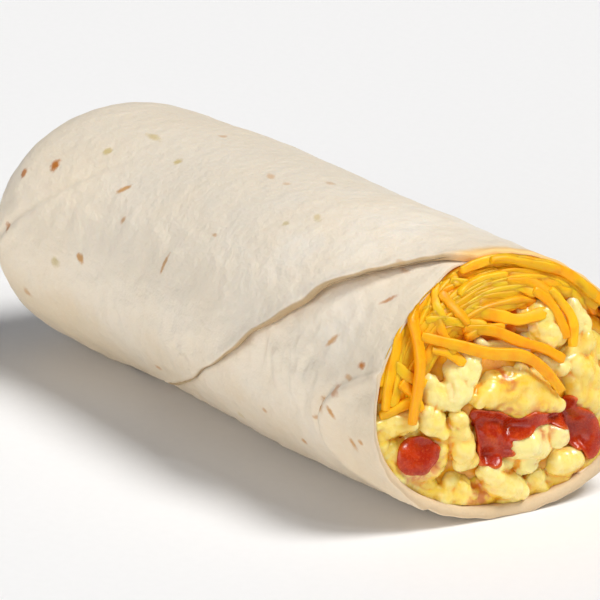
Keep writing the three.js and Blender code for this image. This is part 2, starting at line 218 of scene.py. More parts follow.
tortillaForm = {
    "sheet": 1.7, "wall": 3.0,
    "rimTopSlope": 2.6, "rimTopDip": 2.4, "rimBottomSlope": 0.6, "rimSkew": 1.2,
    "notchDepth": 2.0, "notchAngle": 103, "notchSpread": 14, "innerStep": 1.5,
    "flapStart": -60, "flapEnd": 262, "flapStartX": -70.9,
    "edgeX": 65, "edgeAngle": 96, "edgeTurn": 119, "edgeSlope": 44, "edgeSteepening": 22,
    "liftBase": 0.25, "liftMore": 0.9, "liftAngle": 150, "liftSpread": 30, "liftReach": 3.5,
    "edgeRound": 0.7, "feather": 2.2, "featherDeep": 0.4, "featherFrom": 182, "featherFull": 212,
    "edgeWave": 0.45, "thickAngle": 156, "thickSpread": 24, "thinShare": 0.55,
    "freeFrom": 92, "freeFull": 110, "waviness": 0.35, "waveTurn": 6.5, "waveReach": 5,
    "rootDeep": 0.6, "rootColumns": 14, "crowded": 1.12, "cutReach": 0.75, "shadeUnder": 4,
    "oilAndReflectionReach": 2.6, "rimShade": 0.5, "flapColumns": 208, "flapRows": 116, "layerColumns": 216,
    "hiddenFrom": -14, "hiddenRings": 14, "shownRings": 110, "liningWave": 0.15, "liningEndX": -52,
    "mouthMiddle": (3, 25), "insideFade": (0.3, 3.5),
    # how deep the layer under the flap lies, and between which angles and places that comes and goes
    "tight": 0.25, "windsIn": (60, 100), "windsOut": (180, 245),
    "pressed": 0.75, "pressedAngles": (170, 215), "pressedPlaces": (5, 45),
    "thinner": 0.7, "thinnerBack": 1.2, "thinFrom": 52, "thinsIn": (-50, 10), "thinsOut": (85, 125),
    "stepsIn": (-60, -10), "stepsOut": (60, 105), "edgeWaves": (4.6, 2.3), "edgeWaveRise": (0.08, 0.3),
    "skinGap": 0.12, "fused": 0.4, "featheredCut": 0.6, "oilAndReflectionAngles": (-30, 30),
    "nearEdge": (6, 4.6, 3.4, 2.5, 1.8, 1.25, 0.8, 0.5, 0.28, 0.12, 0.03, 0),
    # the rounded rim: share of the way from outside to inside, and how far out
    "rimRound": ((0.12, 0.28), (0.35, 0.5), (0.65, 0.5), (0.88, 0.28)),
}


def fromUnderneath(angle):
    return (angle + 90) % 360 - 90


def rimX(angle):
    form = tortillaForm
    turn = np.radians(angle)
    top = np.maximum(0, np.sin(turn))
    bottom = np.maximum(0, -np.sin(turn))
    back = form["rimTopSlope"] * top + form["rimTopDip"] * top ** 2
    return rollForm["mouthX"] - back + form["rimBottomSlope"] * bottom + form["rimSkew"] * np.cos(turn)


def innerRimX(angle):
    form = tortillaForm
    around = fromUnderneath(angle)
    atBack = rise(around, *form["stepsIn"]) * (1 - rise(around, *form["stepsOut"]))
    notch = form["notchDepth"] * hump(around - form["notchAngle"], form["notchSpread"])
    return rimX(angle) - form["innerStep"] * atBack - notch


def flapEndX(angle):
    form = tortillaForm
    turned = np.maximum(0, angle - form["edgeAngle"]) / form["edgeTurn"]
    freeEdge = form["edgeX"] - form["edgeSlope"] * turned - form["edgeSteepening"] * turned ** 3
    long, short = form["edgeWaves"]
    wave = np.sin(angle / long) + 0.6 * np.sin(angle / short + 1)
    freeEdge = freeEdge + form["edgeWave"] * wave * rise(turned, *form["edgeWaveRise"])
    return np.where(angle > form["edgeAngle"], np.minimum(rimX(angle), freeEdge), rimX(angle))


def windingStep(x, angle):
    form = tortillaForm
    around = fromUnderneath(angle)
    windingIn = rise(around, *form["windsIn"]) * (1 - rise(around, *form["windsOut"]))
    pressedAround = form["pressed"] * rise(around, *form["pressedAngles"])
    pressed = pressedAround * (1 - rise(x, *form["pressedPlaces"]))
    return form["tight"] + (form["sheet"] - form["tight"]) * windingIn * (1 - pressed)


def wallDepth(x, angle):
    form = tortillaForm
    around = fromUnderneath(angle)
    atBack = rise(around, *form["thinsIn"]) * (1 - rise(around, *form["thinsOut"]))
    thinner = form["thinner"] + form["thinnerBack"] * atBack
    return form["wall"] - thinner * rise(x, form["thinFrom"], rollForm["mouthX"])


creaseForm = {
    # folds across the closed end: place and angle of a point on each, slope, depth, width,
    # and the angle at which it is deepest with its reach
    "farFolds": [
        (-57, 173, 0.5, 0.9, 1.3, 157, 25), (-59, 18, -0.42, 1.1, 1.2, 22, 26),
        (-50, -28, 0.35, 0.6, 1.6, -24, 18),
    ],
    "ridge": {
        "x": 54.2, "angle": 198, "curve": 0.0123, "height": 1.3, "width": 2.6, "middle": 195, "fade": 36,
        "crease": 1.1, "creaseWidth": 0.9, "creaseBack": 2.4,
    },
    # pleats gathered round the closed end: angle, depth, spread, how far each turns on its way
    "pleats": [
        (8, 1.5, 5, 0.9), (36, 2.0, 4.5, 0.4), (62, 0.9, 5, 0.0),
        (238, 1.0, 6, -0.5), (272, 1.0, 8, 0.3), (308, 1.6, 6, 0.7), (338, 1.4, 5, 0.8),
    ],
    "pleatsFrom": -54, "pleatsFull": -66,
    # beside each pleat and fold the dough swells: share of the depth, how far away, how wide
    "pleatSwell": (0.3, 1.6), "foldSwell": (0.4, 2.6, 1.8),
    # waves of the skin: height, then their lengths along the roll
    "longDents": 0.1, "longWaves": (8.5, 31), "shortDents": 0.08, "shortWave": 5.2,
    # uneven dough: height and size of the lumps, and where it is calmer
    "dough": (0.2, 9.0), "blisters": (0.3, 3.1), "calm": 0.55, "calmHeights": (34, 46),
    "calmPlaces": (10, 50),
    # wrinkled places: how strong, angle and its reach, place and its reach
    "wrinkles": 0.75, "wrinkled": [(1.0, 178, 17, 43, 9), (0.7, 191, 11, 6, 7)],
}


def relief(x, angle):
    form = creaseForm
    turn = np.radians(angle)
    along, slow = form["longWaves"]
    dents = form["longDents"] * np.sin(x / along + 2 * np.sin(turn)) * np.sin(2 * turn + x / slow)
    dents = dents + form["shortDents"] * np.sin(x / form["shortWave"] - 3 * np.cos(turn) + 1.7)
    gathered = rise(-x, -form["pleatsFrom"], -form["pleatsFull"])
    swell, swellAway = form["pleatSwell"]
    for middle, depth, spread, turning in form["pleats"]:
        away = (angle - middle - turning * (form["pleatsFrom"] - x) + 180) % 360 - 180
        dents = dents - gathered * depth * hump(away, spread)
        dents = dents + swell * gathered * depth * hump(away - swellAway * spread, spread)
    swell, swellAway, swellWidth = form["foldSwell"]
    for lineX, lineAngle, slope, depth, width, middle, fade in form["farFolds"]:
        turned = (angle - lineAngle + 180) % 360 - 180
        foldLine = lineX - slope * turned
        foldFade = hump((angle - middle + 180) % 360 - 180, fade)
        dents = dents - depth * foldFade * hump(x - foldLine, width)
        dents = dents + swell * depth * foldFade * hump(x - foldLine - swellAway, swellWidth)
    ridge = form["ridge"]
    ridgeLine = ridge["x"] + ridge["curve"] * (ridge["angle"] - angle) ** 2
    ridgeFade = hump(angle - ridge["middle"], ridge["fade"])
    crease = ridge["crease"] * hump(x - ridgeLine + ridge["creaseBack"], ridge["creaseWidth"])
    return dents + ridgeFade * (ridge["height"] * hump(x - ridgeLine, ridge["width"]) - crease)


def doughLumps(x, angle, seed):  # the uneven skin of the dough
    form = creaseForm
    points = roll(x, angle, 0)
    high = rise(points[..., 2], *form["calmHeights"])
    calm = 1 - form["calm"] * high * (1 - rise(points[..., 0], *form["calmPlaces"]))
    broad, fine = form["dough"], form["blisters"]
    lumps = broad[0] * ripple(points, broad[1], seed) + fine[0] * ripple(points, fine[1], seed + 1)
    return lumps * calm


def wrinkles(x, angle):  # short creases that run down round the roll under the flap
    where = 0
    for strength, middle, reach, place, placeReach in creaseForm["wrinkled"]:
        where = where + strength * hump(angle - middle, reach) * hump(x - place, placeReach)
    points = roll(x, angle, 0) * (1, 0.3, 0.3)
    wave = 0.3 - 3 * np.abs(ripple(points, 1.9, 21)) + 1.2 * ripple(points, 3.4, 22)
    return creaseForm["wrinkles"] * where * wave


def outerFlap():
    form = tortillaForm
    angles = np.linspace(form["flapStart"], form["flapEnd"], form["flapColumns"])
    nearEdge = np.array(form["nearEdge"])
    bodyRows = form["flapRows"] - len(nearEdge)
    columnX = []
    for angle in angles:
        endX = float(flapEndX(np.array(angle)))
        share = np.linspace(0, 1, bodyRows + 1)[:-1] ** form["crowded"]
        body = form["flapStartX"] + (endX - nearEdge[0] - form["flapStartX"]) * share
        columnX.append(np.concatenate([body, endX - nearEdge]))
    x = np.array(columnX)
    angle = np.repeat(angles[:, None], x.shape[1], axis=1)
    toEdge = np.repeat(flapEndX(angles)[:, None], x.shape[1], axis=1) - x
    free = rise(angle, form["freeFrom"], form["freeFull"])
    opened = free * hump(toEdge, form["liftReach"])
    lift = form["liftBase"] + form["liftMore"] * hump(angle - form["liftAngle"], form["liftSpread"])
    wavy = form["waviness"] * np.sin(angle / form["waveTurn"]) * free * hump(toEdge, form["waveReach"])
    root = form["rootDeep"] * (1 - rise(np.arange(len(angles)), 0, form["rootColumns"]))[:, None]
    feathered = rise(angle, form["featherFrom"], form["featherFull"])
    inward = np.clip(1 - toEdge / (form["edgeRound"] + form["feather"] * feathered), 0, 1)
    rounding = (form["edgeRound"] + form["featherDeep"] * feathered) * (1 - np.sqrt(1 - inward ** 2))
    skin = relief(x, angle) + doughLumps(x, angle, 1) + wrinkles(x, angle) + lift * opened + wavy * opened
    outer = roll(x, angle, skin - root - rounding)
    thickest = hump(angle - form["thickAngle"], form["thickSpread"])
    thick = form["thinShare"] + (1 - form["thinShare"]) * thickest
    sheet = form["sheet"] * (1 - (1 - thick) * opened) + form["fused"] * (1 - opened)
    deepest = wallDepth(x, angle) - form["skinGap"]
    thickness = np.where(free > 0.5, sheet, np.minimum(sheet, deepest))
    under = np.maximum(thickness - rounding, 0.05)
    inner = roll(x, angle, relief(x, angle) + (lift + wavy) * opened - under - root)
    rows, columns = x.shape
    count = rows * columns
    faces = [face[::-1] for face in gridFaces(rows, columns)]
    faces += gridFaces(rows, columns, count)
    for column in range(columns - 1):
        last = (rows - 1) * columns + column
        faces.append((column, column + 1, count + column + 1, count + column))
        faces.append((last + 1, last, count + last, count + last + 1))
    for row in range(rows - 1):
        a = row * columns
        b = a + columns - 1
        faces.append((a + columns, a, count + a, count + a + columns))
        faces.append((b, b + columns, count + b + columns, count + b))
    # Painted shade: the flap's cut face gets the darker tan edge colour, and so does the underside of the
    # flap near its free edge, for the shade in the gap beneath it.
    edge = free * hump(toEdge, form["cutReach"]) * (1 - form["featheredCut"] * feathered)
    points = np.concatenate([outer.reshape(-1, 3), inner.reshape(-1, 3)])
    undersideShade = np.maximum(edge, free * hump(toEdge, form["shadeUnder"]))
    cutAndShade = np.concatenate([edge.ravel(), undersideShade.ravel()])
    # Partly an oil stain and partly a painted reflection: the flap near the rim at the top and back is
    # tinted orange, as by light off the cheese.
    oilyAndReflected = (1 - free) * rise(angle, *form["oilAndReflectionAngles"]) * hump(toEdge, form["oilAndReflectionReach"])
    return points, faces, cutAndShade, np.concatenate([oilyAndReflected.ravel(), oilyAndReflected.ravel()])


def innerLayer():
    form = tortillaForm
    angles = np.linspace(0, 360, form["layerColumns"], endpoint=False)
    quarter = np.linspace(0.05, 1, 12) * math.pi / 2
    rounded = rollForm["endX"] + 0.3 + rollForm["endLength"] * (1 - np.cos(quarter))
    hidden = np.linspace(rounded[-1], form["hiddenFrom"], form["hiddenRings"])[1:]
    shown = np.linspace(form["hiddenFrom"], rollForm["mouthX"], form["shownRings"])[1:]
    stations = np.concatenate([rounded, hidden, shown])
    rimAway = innerRimX(angles) - rollForm["mouthX"]
    opening = rise(stations, rollForm["mouthStartX"], rollForm["mouthX"])
    x = stations[:, None] + rimAway[None, :] * opening[:, None]
    angle = np.repeat(angles[None, :], len(stations), axis=0)
    skin = relief(x, angle) - windingStep(x, angle) + doughLumps(x, angle, 5) + wrinkles(x, angle)
    outer = roll(x, angle, skin)
    rimOuter, rimInner = skin[-1], -wallDepth(x[-1], angles)
    rings = [outer]
    for share, out in form["rimRound"]:
        rings.append(roll(x[-1] + out, angles, rimOuter + (rimInner - rimOuter) * share)[None])
    back = np.concatenate([np.linspace(0, 20, 16), np.linspace(26, 122, 11)])
    for share in back / back[-1]:
        stationX = x[-1] * (1 - share) + share * form["liningEndX"]
        uneven = form["liningWave"] * np.sin(stationX / 3)
        rings.append(roll(stationX, angles, uneven - wallDepth(stationX, angles))[None])
    points = np.concatenate([ring.reshape(-1, 3) for ring in rings])
    ringCount = len(points) // len(angles)
    faces = gridFaces(ringCount, len(angles), closed=True)
    faces = [face[::-1] for face in faces]
    ends = [points[: len(angles)].mean(0), points[-len(angles):].mean(0)]
    first, last = len(points), len(points) + 1
    points = np.concatenate([points, ends])
    top = (ringCount - 1) * len(angles)
    for i in range(len(angles)):
        j = (i + 1) % len(angles)
        faces.append((i, j, first))
        faces.append((top + j, top + i, last))
    firstOfRim = outer.size // 3
    lining = slice(firstOfRim + 3 * len(angles), -2)
    middleY, middleZ = form["mouthMiddle"]
    turned = np.degrees(np.arctan2(points[lining, 2] - middleZ, points[lining, 1] - middleY))
    inside = np.zeros(len(points))
    inside[lining] = rise(rimX(turned) - points[lining, 0], *form["insideFade"])
    # Painted shade: the rim's lip and the lining just inside it take half of the darker tan edge colour.
    rim = np.zeros(len(points))
    rim[firstOfRim: firstOfRim + 9 * len(angles)] = form["rimShade"]
    return points, faces, inside, rim


flapPoints, flapFaces, flapCutAndShade, flapOilAndReflection = outerFlap()
layerPoints, layerFaces, layerInside, layerRim = innerLayer()
allFaces = flapFaces + [tuple(i + len(flapPoints) for i in face) for face in layerFaces]
tortilla = newPiece("tortilla_wrap", np.concatenate([flapPoints, layerPoints]), allFaces)
paintPoints(tortilla, "cutFaceAndShade", np.concatenate([flapCutAndShade, layerRim]))
paintPoints(tortilla, "oilAndReflection", np.concatenate([flapOilAndReflection, np.zeros(len(layerPoints))]))
paintPoints(tortilla, "inside", np.concatenate([np.zeros(len(flapPoints)), layerInside]))

# Toasted marks: place along the roll, angle round it, half length, half width, tilt, strength
toastLook = {
    "brown": tone(192, 116, 42), "tan": tone(206, 150, 84), "olive": tone(210, 188, 130),
    "marks": [
        ("brown", -49.4, 137.4, 1.5, 1.1, 60, 1.0), ("brown", -56.9, 145.5, 1.2, 0.9, 60, 0.9),
        ("brown", -55.8, 171.6, 1.0, 0.8, 40, 0.8), ("tan", -30.9, 172.1, 1.2, 0.9, 20, 0.9),
        ("tan", -26.8, 137.1, 1.9, 0.7, -50, 0.9), ("tan", -21.1, 149.4, 0.9, 0.7, -40, 0.7),
        ("olive", -34.9, 107.5, 2.4, 0.9, 0, 0.7), ("tan", -1.7, 157.7, 0.6, 2.0, 10, 0.8),
        ("tan", 8.4, 137.9, 1.0, 0.4, 0, 0.6), ("tan", -50.5, 200.0, 1.2, 0.9, 30, 0.6),
        ("olive", -39.8, 123.1, 1.1, 1.0, 0, 0.9), ("olive", -20.9, 115.6, 1.1, 0.9, 30, 0.9),
        ("olive", -38.8, 178.2, 1.1, 1.0, 0, 0.7), ("olive", 23.8, 120.6, 0.8, 0.8, 0, 0.7),
        ("tan", -24.6, 89.2, 1.0, 0.8, 0, 0.5), ("tan", 3.7, 101.3, 1.5, 0.7, 20, 0.5),
        ("tan", 9.4, 101.0, 1.0, 0.6, 0, 0.4), ("tan", 15.2, 88.2, 1.6, 0.8, 0, 0.4),
        ("olive", 28.8, 112.1, 1.6, 0.7, 20, 0.6), ("tan", 56.9, 116.5, 1.4, 0.6, 0, 0.4),
        ("brown", 60.0, 132.4, 1.7, 0.55, -60, 0.75), ("tan", 53.7, 157.1, 1.6, 0.6, -60, 0.8),
        ("brown", 62.9, 162.3, 0.9, 0.75, 0, 0.95), ("brown", 58.7, 176.6, 1.2, 1.0, 40, 0.6),
        ("tan", 54.6, 185.8, 1.3, 1.0, 50, 0.9), ("tan", 60.5, 169.3, 0.8, 0.7, 0, 0.6),
        ("tan", 57.5, 187.2, 1.2, 0.5, 70, 0.9), ("tan", 62.0, 200.5, 1.4, 0.8, 50, 0.9),
        ("tan", 65.1, 197.1, 0.7, 0.6, 0, 0.8), ("tan", 43.4, 213.4, 0.8, 0.7, 0, 0.8),
        ("tan", 51.2, 195.0, 0.8, 0.5, 0, 0.6), ("tan", 32.8, 204.5, 0.8, 0.6, 0, 0.6),
        ("olive", 20.6, 216.5, 1.0, 0.8, 0, 0.5), ("tan", -8.6, 211.9, 1.0, 0.7, 0, 0.7),
        # the sides that the photo doesn't show
        ("tan", -44.0, 48.0, 0.9, 0.6, 40, 0.6), ("tan", -6.0, 30.0, 0.7, 0.6, 0, 0.5),
        ("olive", -28.0, 18.0, 1.2, 0.8, 10, 0.6), ("tan", 4.0, 8.0, 0.8, 0.5, 60, 0.6),
        ("brown", 22.0, 16.0, 0.8, 0.6, -20, 0.7), ("tan", 25.5, 19.0, 0.6, 0.5, 0, 0.6),
        ("tan", 45.0, 38.0, 1.7, 0.5, -50, 0.6), ("tan", 58.0, 20.0, 1.1, 0.7, 30, 0.7),
        ("olive", 60.0, 48.0, 0.9, 0.7, 0, 0.5), ("tan", -58.0, 22.0, 1.6, 0.8, 70, 0.7),
        ("tan", 40.0, -24.0, 1.0, 0.7, 0, 0.7), ("tan", -18.0, -22.0, 2.0, 0.8, -40, 0.6),
        ("brown", -33.0, 34.0, 1.4, 1.1, 20, 0.8), ("tan", -12.0, 12.0, 1.6, 0.8, -30, 0.9),
        ("tan", 14.0, 42.0, 1.2, 0.9, 30, 0.8), ("olive", 36.0, 22.0, 1.5, 0.9, 0, 0.8),
        ("brown", 52.0, -8.0, 1.3, 1.0, 50, 0.8), ("tan", -48.0, -14.0, 1.4, 1.0, 0, 0.9),
        ("olive", -20.0, 60.0, 1.5, 1.0, 0, 0.7), ("tan", 33.0, 64.0, 1.3, 0.7, 40, 0.6),
        ("tan", 0.0, -28.0, 1.5, 1.0, 60, 0.8), ("brown", 28.0, -36.0, 1.3, 0.9, 0, 0.8),
        ("tan", -26.0, 245.0, 1.6, 1.1, 0, 0.8), ("tan", 12.0, 262.0, 1.8, 1.2, 30, 0.8),
        ("brown", 40.0, 284.0, 1.5, 1.1, 0, 0.8), ("tan", -40.0, 296.0, 1.5, 1.2, 0, 0.8),
        ("tan", -66.0, 60.0, 1.3, 1.0, 0, 0.8), ("brown", -68.5, 190.0, 1.4, 1.1, 0, 0.7),
    ],
    "base": tone(243, 228, 205), "pale": tone(244, 234, 218), "warm": tone(232, 210, 176),
    # On the next line the second colour is painted shade for the top towards the far end, and the third is
    # painted light for the front halfway up.
    "top": tone(230, 217, 196), "litFront": tone(252, 236, 212),
    # The darker tan below is partly the cut face's own colour and partly painted shade under the flap and on
    # the rim's lip.
    # The orange below is partly an oil stain and partly a painted reflection of the cheese near the rim.
    "edge": tone(184, 152, 104), "oilAndReflection": tone(250, 196, 104), "insideShade": tone(236, 160, 70),
    # where the tortilla is browner and darker: towards the bottom as painted shade, and also towards the far
    # end and the mouth: axis, how ragged, from none to full, strength
    "darkerZones": [("Z", 16, 36.0, 0.0, 0.8), ("X", 20, 0.0, -62.0, 0.4), ("X", 12, 46.0, 66.0, 0.5)],
}


def tortillaMaterial():
    look = toastLook
    m = Recipe("toasted_tortilla")
    spot = m.place()
    cloud = m.speckle(spot, 16.0, 3.0)
    mottle = m.speckle(spot, 3.6, 3.0, 0.6)
    flour = m.speckle(spot, 0.7, 2.0, 0.6)
    axes = {axis: m.node("ShaderNodeSeparateXYZ", {}, {0: spot}, axis) for axis in "XZ"}
    along, height = axes["X"], axes["Z"]
    colour = m.mix(m.step(cloud, 0.32, 0.68), look["base"], look["pale"])
    colour = m.mix(m.step(mottle, 0.5, 0.74) * 0.2, colour, look["warm"])
    # Painted shade: darker and browner towards the bottom of the roll; also darker towards the far end and
    # towards the mouth.
    for axis, ragged, none, full, strength in look["darkerZones"]:
        zone = m.step(axes[axis] + (cloud - 0.5) * ragged, none, full)
        colour = m.mix(zone * strength, colour, look["warm"])
    # Painted shade: the top of the roll towards the far end is darkened.
    shadedTop = m.step(height + (cloud - 0.5) * 8, 36.0, 50.0) * m.step(along, 40.0, 0.0)
    colour = m.mix(shadedTop * 0.75, colour, look["top"])
    # Painted light: the front halfway up, where the lamps leave a greyer band, is made paler.
    litFront = m.step(height + (cloud - 0.5) * 6, 14.0, 27.0) * m.step(height, 46.0, 36.0)
    colour = m.mix(litFront * m.step(along, 58.0, 40.0) * 0.7, colour, look["litFront"])
    colour = m.mix(m.step(flour, 0.55, 0.75) * 0.25, colour, look["pale"])
    ragged = (m.speckle(spot, 1.1, 2.0, 0.6) - 0.5) * 1.3
    for kind, x, angle, length, width, tilt, strength in look["marks"]:
        centre = Vector(roll(x, angle, 0)) + rollToFrame
        along = Vector((1, 0, 0))
        near = Vector(roll(x, angle + 1, 0)) - Vector(roll(x, angle, 0))
        around = near.normalized()
        turn = math.radians(tilt)
        longAxis = (along * math.cos(turn) + around * math.sin(turn)) / length
        wideAxis = (around * math.cos(turn) - along * math.sin(turn)) / width
        outward = along.cross(around).normalized() / 6
        away = m.node("ShaderNodeVectorMath", {"operation": "SUBTRACT"}, {0: spot, 1: centre})
        parts = []
        for axis in (longAxis, wideAxis, outward):
            part = m.node("ShaderNodeVectorMath", {"operation": "DOT_PRODUCT"}, {0: away, 1: axis}, "Value")
            parts.append(part * part)
        distance = (parts[0] + parts[1] + parts[2]) ** 0.5
        mask = m.step(distance + ragged, 1.4, 0.4, 0.0, strength)
        colour = m.mix(mask, colour, look[kind])
    # Painted shade: darker tan on the flap's cut face, under the flap's free edge and on the rim's lip.
    colour = m.mix(m.step(m.attribute("cutFaceAndShade"), 0.1, 0.9) * 0.85, colour, look["edge"])
    colour = m.mix(m.attribute("inside") * 0.8, colour, look["insideShade"])
    # Partly an oil stain and partly a painted reflection: orange from the cheese near the rim at the top and
    # back.
    colour = m.mix(m.step(m.attribute("oilAndReflection") + (mottle - 0.5) * 0.5, 0.1, 0.9) * 0.75, colour, look["oilAndReflection"])
    grain = m.bump(flour * 0.6 + m.speckle(spot, 0.28, 1.0) * 0.4, 0.25, 0.12)
    dimples = m.bump(m.speckle(spot, 2.0, 3.0, 0.55), 0.6, 0.5, grain)
    return m.finish({
        "Base Color": colour, "Roughness": m.step(mottle, 0.3, 0.7, 0.62, 0.8), "Normal": dimples,
        "Subsurface Weight": 0.12, "Subsurface Radius": (1.0, 0.7, 0.45), "Subsurface Scale": 1.2 * mm,
        "Specular IOR Level": 0.3, "Sheen Weight": 0.08,
    })


asPart(tortilla, "tortilla", tortillaMaterial())

fillingForm = {
    "faceX": 72.0, "recess": 1.6, "middleY": 2.8, "middleZ": 24.6, "halfY": 26.3, "halfZ": 21.5,
    "mouthY": 2.8, "mouthZ": 24.3, "mouthHalfY": 27.5, "mouthHalfZ": 23.5,
    "viewPlaneX": 71.0, "towardsViewer": (0.8059, -0.5124, 0.2965),
}


def faceX(y, z):  # how far out the filling's front stands
    form = fillingForm
    across = (y - form["middleY"]) / form["halfY"]
    up = (z - form["middleZ"]) / form["halfZ"]
    edge = np.minimum(1.15, across ** 2 + up ** 2)
    angle = np.degrees(np.arctan2(up, across))
    return form["faceX"] * (1 - edge) + (rimX(angle) - form["recess"]) * edge


def onFace(y, z, lift=0.0):  # from the plane of the mouth, along the line of sight, to the filling's front
    form = fillingForm
    sight = np.array(form["towardsViewer"])
    point = np.array([form["viewPlaneX"], y, z], float)
    for _ in range(6):
        point = point + sight * (faceX(point[1], point[2]) + lift - point[0]) / sight[0]
    return point


def readPoints(piece):  # in millimetres, in the frame of the roll
    places = np.zeros(len(piece.data.vertices) * 3)
    piece.data.vertices.foreach_get("co", places)
    return places.reshape(-1, 3) / mm - np.array(rollToFrame)


def writePoints(piece, points):
    places = (points + np.array(rollToFrame)) * mm
    piece.data.vertices.foreach_set("co", places.ravel())
    piece.data.update()


def readNormals(piece):
    normals = np.zeros(len(piece.data.vertices) * 3)
    piece.data.vertices.foreach_get("normal", normals)
    return normals.reshape(-1, 3)


wallGrid = {"fromX": 20, "toX": 80, "stepX": 0.5, "turn": 3}


def makeWallTable():  # the inside of the tortilla: its middle and its radius all round, at each station
    grid = wallGrid
    stations = np.arange(grid["fromX"], grid["toX"], grid["stepX"])
    angles = np.arange(0, 360, grid["turn"])
    around = np.radians(np.arange(-180, 181, grid["turn"]))
    middles, radii = [], []
    for x in stations:
        ring = roll(x, angles, -wallDepth(x, angles))[:, 1:]
        middle = ring.mean(0)
        away = ring - middle
        turn = np.arctan2(away[:, 1], away[:, 0])
        order = np.argsort(turn)
        middles.append(middle)
        radii.append(np.interp(around, turn[order], np.hypot(*away[order].T), period=2 * math.pi))
    return stations, np.array(middles), np.array(radii)


wallTable = makeWallTable()


def keptInside(piece, gap, overRim=0.0):  # draws in what would come through the tortilla
    stations, middles, radii = wallTable
    points = readPoints(piece)
    station = np.clip(np.searchsorted(stations, points[:, 0]), 0, len(stations) - 1)
    away = points[:, 1:] - middles[station]
    angle = np.degrees(np.arctan2(away[:, 1], away[:, 0]))
    turn = (angle + 180) / wallGrid["turn"]
    low = np.clip(turn.astype(int), 0, radii.shape[1] - 2)
    share = turn - low
    limit = radii[station, low] * (1 - share) + radii[station, low + 1] * share - gap
    limit += overRim * rise(points[:, 0] - rimX(angle), -0.5, 0.1)
    distance = np.maximum(0.01, np.hypot(*away.T))
    away *= np.minimum(1, limit / distance)[:, None]
    points[:, 1:] = middles[station] + away
    writePoints(piece, points)


def hollowness(piece, rounds):  # how far each point lies below its surroundings, in millimetres
    points = readPoints(piece)
    ends = np.zeros(len(piece.data.edges) * 2, int)
    piece.data.edges.foreach_get("vertices", ends)
    first, second = ends.reshape(-1, 2).T
    count = np.maximum(1, np.bincount(ends, minlength=len(points)))[:, None]
    calm = points.copy()
    for _ in range(rounds):
        total = np.zeros_like(calm)
        for axis in range(3):
            total[:, axis] += np.bincount(first, calm[second, axis], len(points))
            total[:, axis] += np.bincount(second, calm[first, axis], len(points))
        calm = total / count
    return ((calm - points) * readNormals(piece)).sum(1)


def joined(name, parts):  # several (points, faces) as one piece
    points, faces, shades = [], [], []
    for i, (partPoints, partFaces) in enumerate(parts):
        first = len(points)
        points += [tuple(point) for point in partPoints]
        faces += [tuple(first + index for index in face) for face in partFaces]
        shades += [(i * 0.618034) % 1] * len(partPoints)
    piece = newPiece(name, points, faces)
    paintPoints(piece, "shade", shades)
    return piece


def merged(name, heap, core):
    bpy.ops.object.select_all(action="DESELECT")
    core.select_set(True)
    heap.select_set(True)
    bpy.context.view_layer.objects.active = heap
    bpy.ops.object.join()
    heap.name = name
    return heap


def remeshed(piece, voxel, smoothing=0, factor=0.5):
    remesh = piece.modifiers.new("remesh", "REMESH")
    remesh.mode = "VOXEL"
    remesh.voxel_size = voxel * mm
    remesh.use_smooth_shade = True
    if smoothing:
        smooth = piece.modifiers.new("smooth", "SMOOTH")
        smooth.iterations = smoothing
        smooth.factor = factor
    graph = bpy.context.evaluated_depsgraph_get()
    mesh = bpy.data.meshes.new_from_object(piece.evaluated_get(graph))
    piece.modifiers.clear()
    old = piece.data
    piece.data = mesh
    bpy.data.meshes.remove(old)
    return piece


def folded(piece, layers):  # rounded swells with sharp creases between them: (size, height, seed)
    points = readPoints(piece)
    moved = sum(height * (np.abs(ripple(points, size, seed)) * 3 - 0.5) for size, height, seed in layers)
    writePoints(piece, points + readNormals(piece) * moved[:, None])


def coreOf(node, name, voxel, below):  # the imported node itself, softened, under the real pieces
    piece = bpy.data.objects.new(name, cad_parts[node].data.copy())
    bpy.context.scene.collection.objects.link(piece)
    piece.data.materials.clear()
    remeshed(piece, voxel, 4)
    points = readPoints(piece)
    points[:, 0] = np.minimum(points[:, 0], faceX(points[:, 1], points[:, 2]) - below)
    writePoints(piece, points)
    return piece


def smoothPath(points, count):  # a soft curve through the points, whatever each one holds
    places = np.array(points, float)
    places = np.vstack([places[0] * 2 - places[1], places, places[-1] * 2 - places[-2]])
    spans = len(places) - 3
    path = []
    for along in np.linspace(0, spans, count):
        i = min(int(along), spans - 1)
        t = along - i
        a, b, c, d = places[i: i + 4]
        curve = 2 * b + (c - a) * t + (2 * a - 5 * b + 4 * c - d) * t ** 2 + (3 * b - a - 3 * c + d) * t ** 3
        path.append(curve / 2)
    return np.array(path)


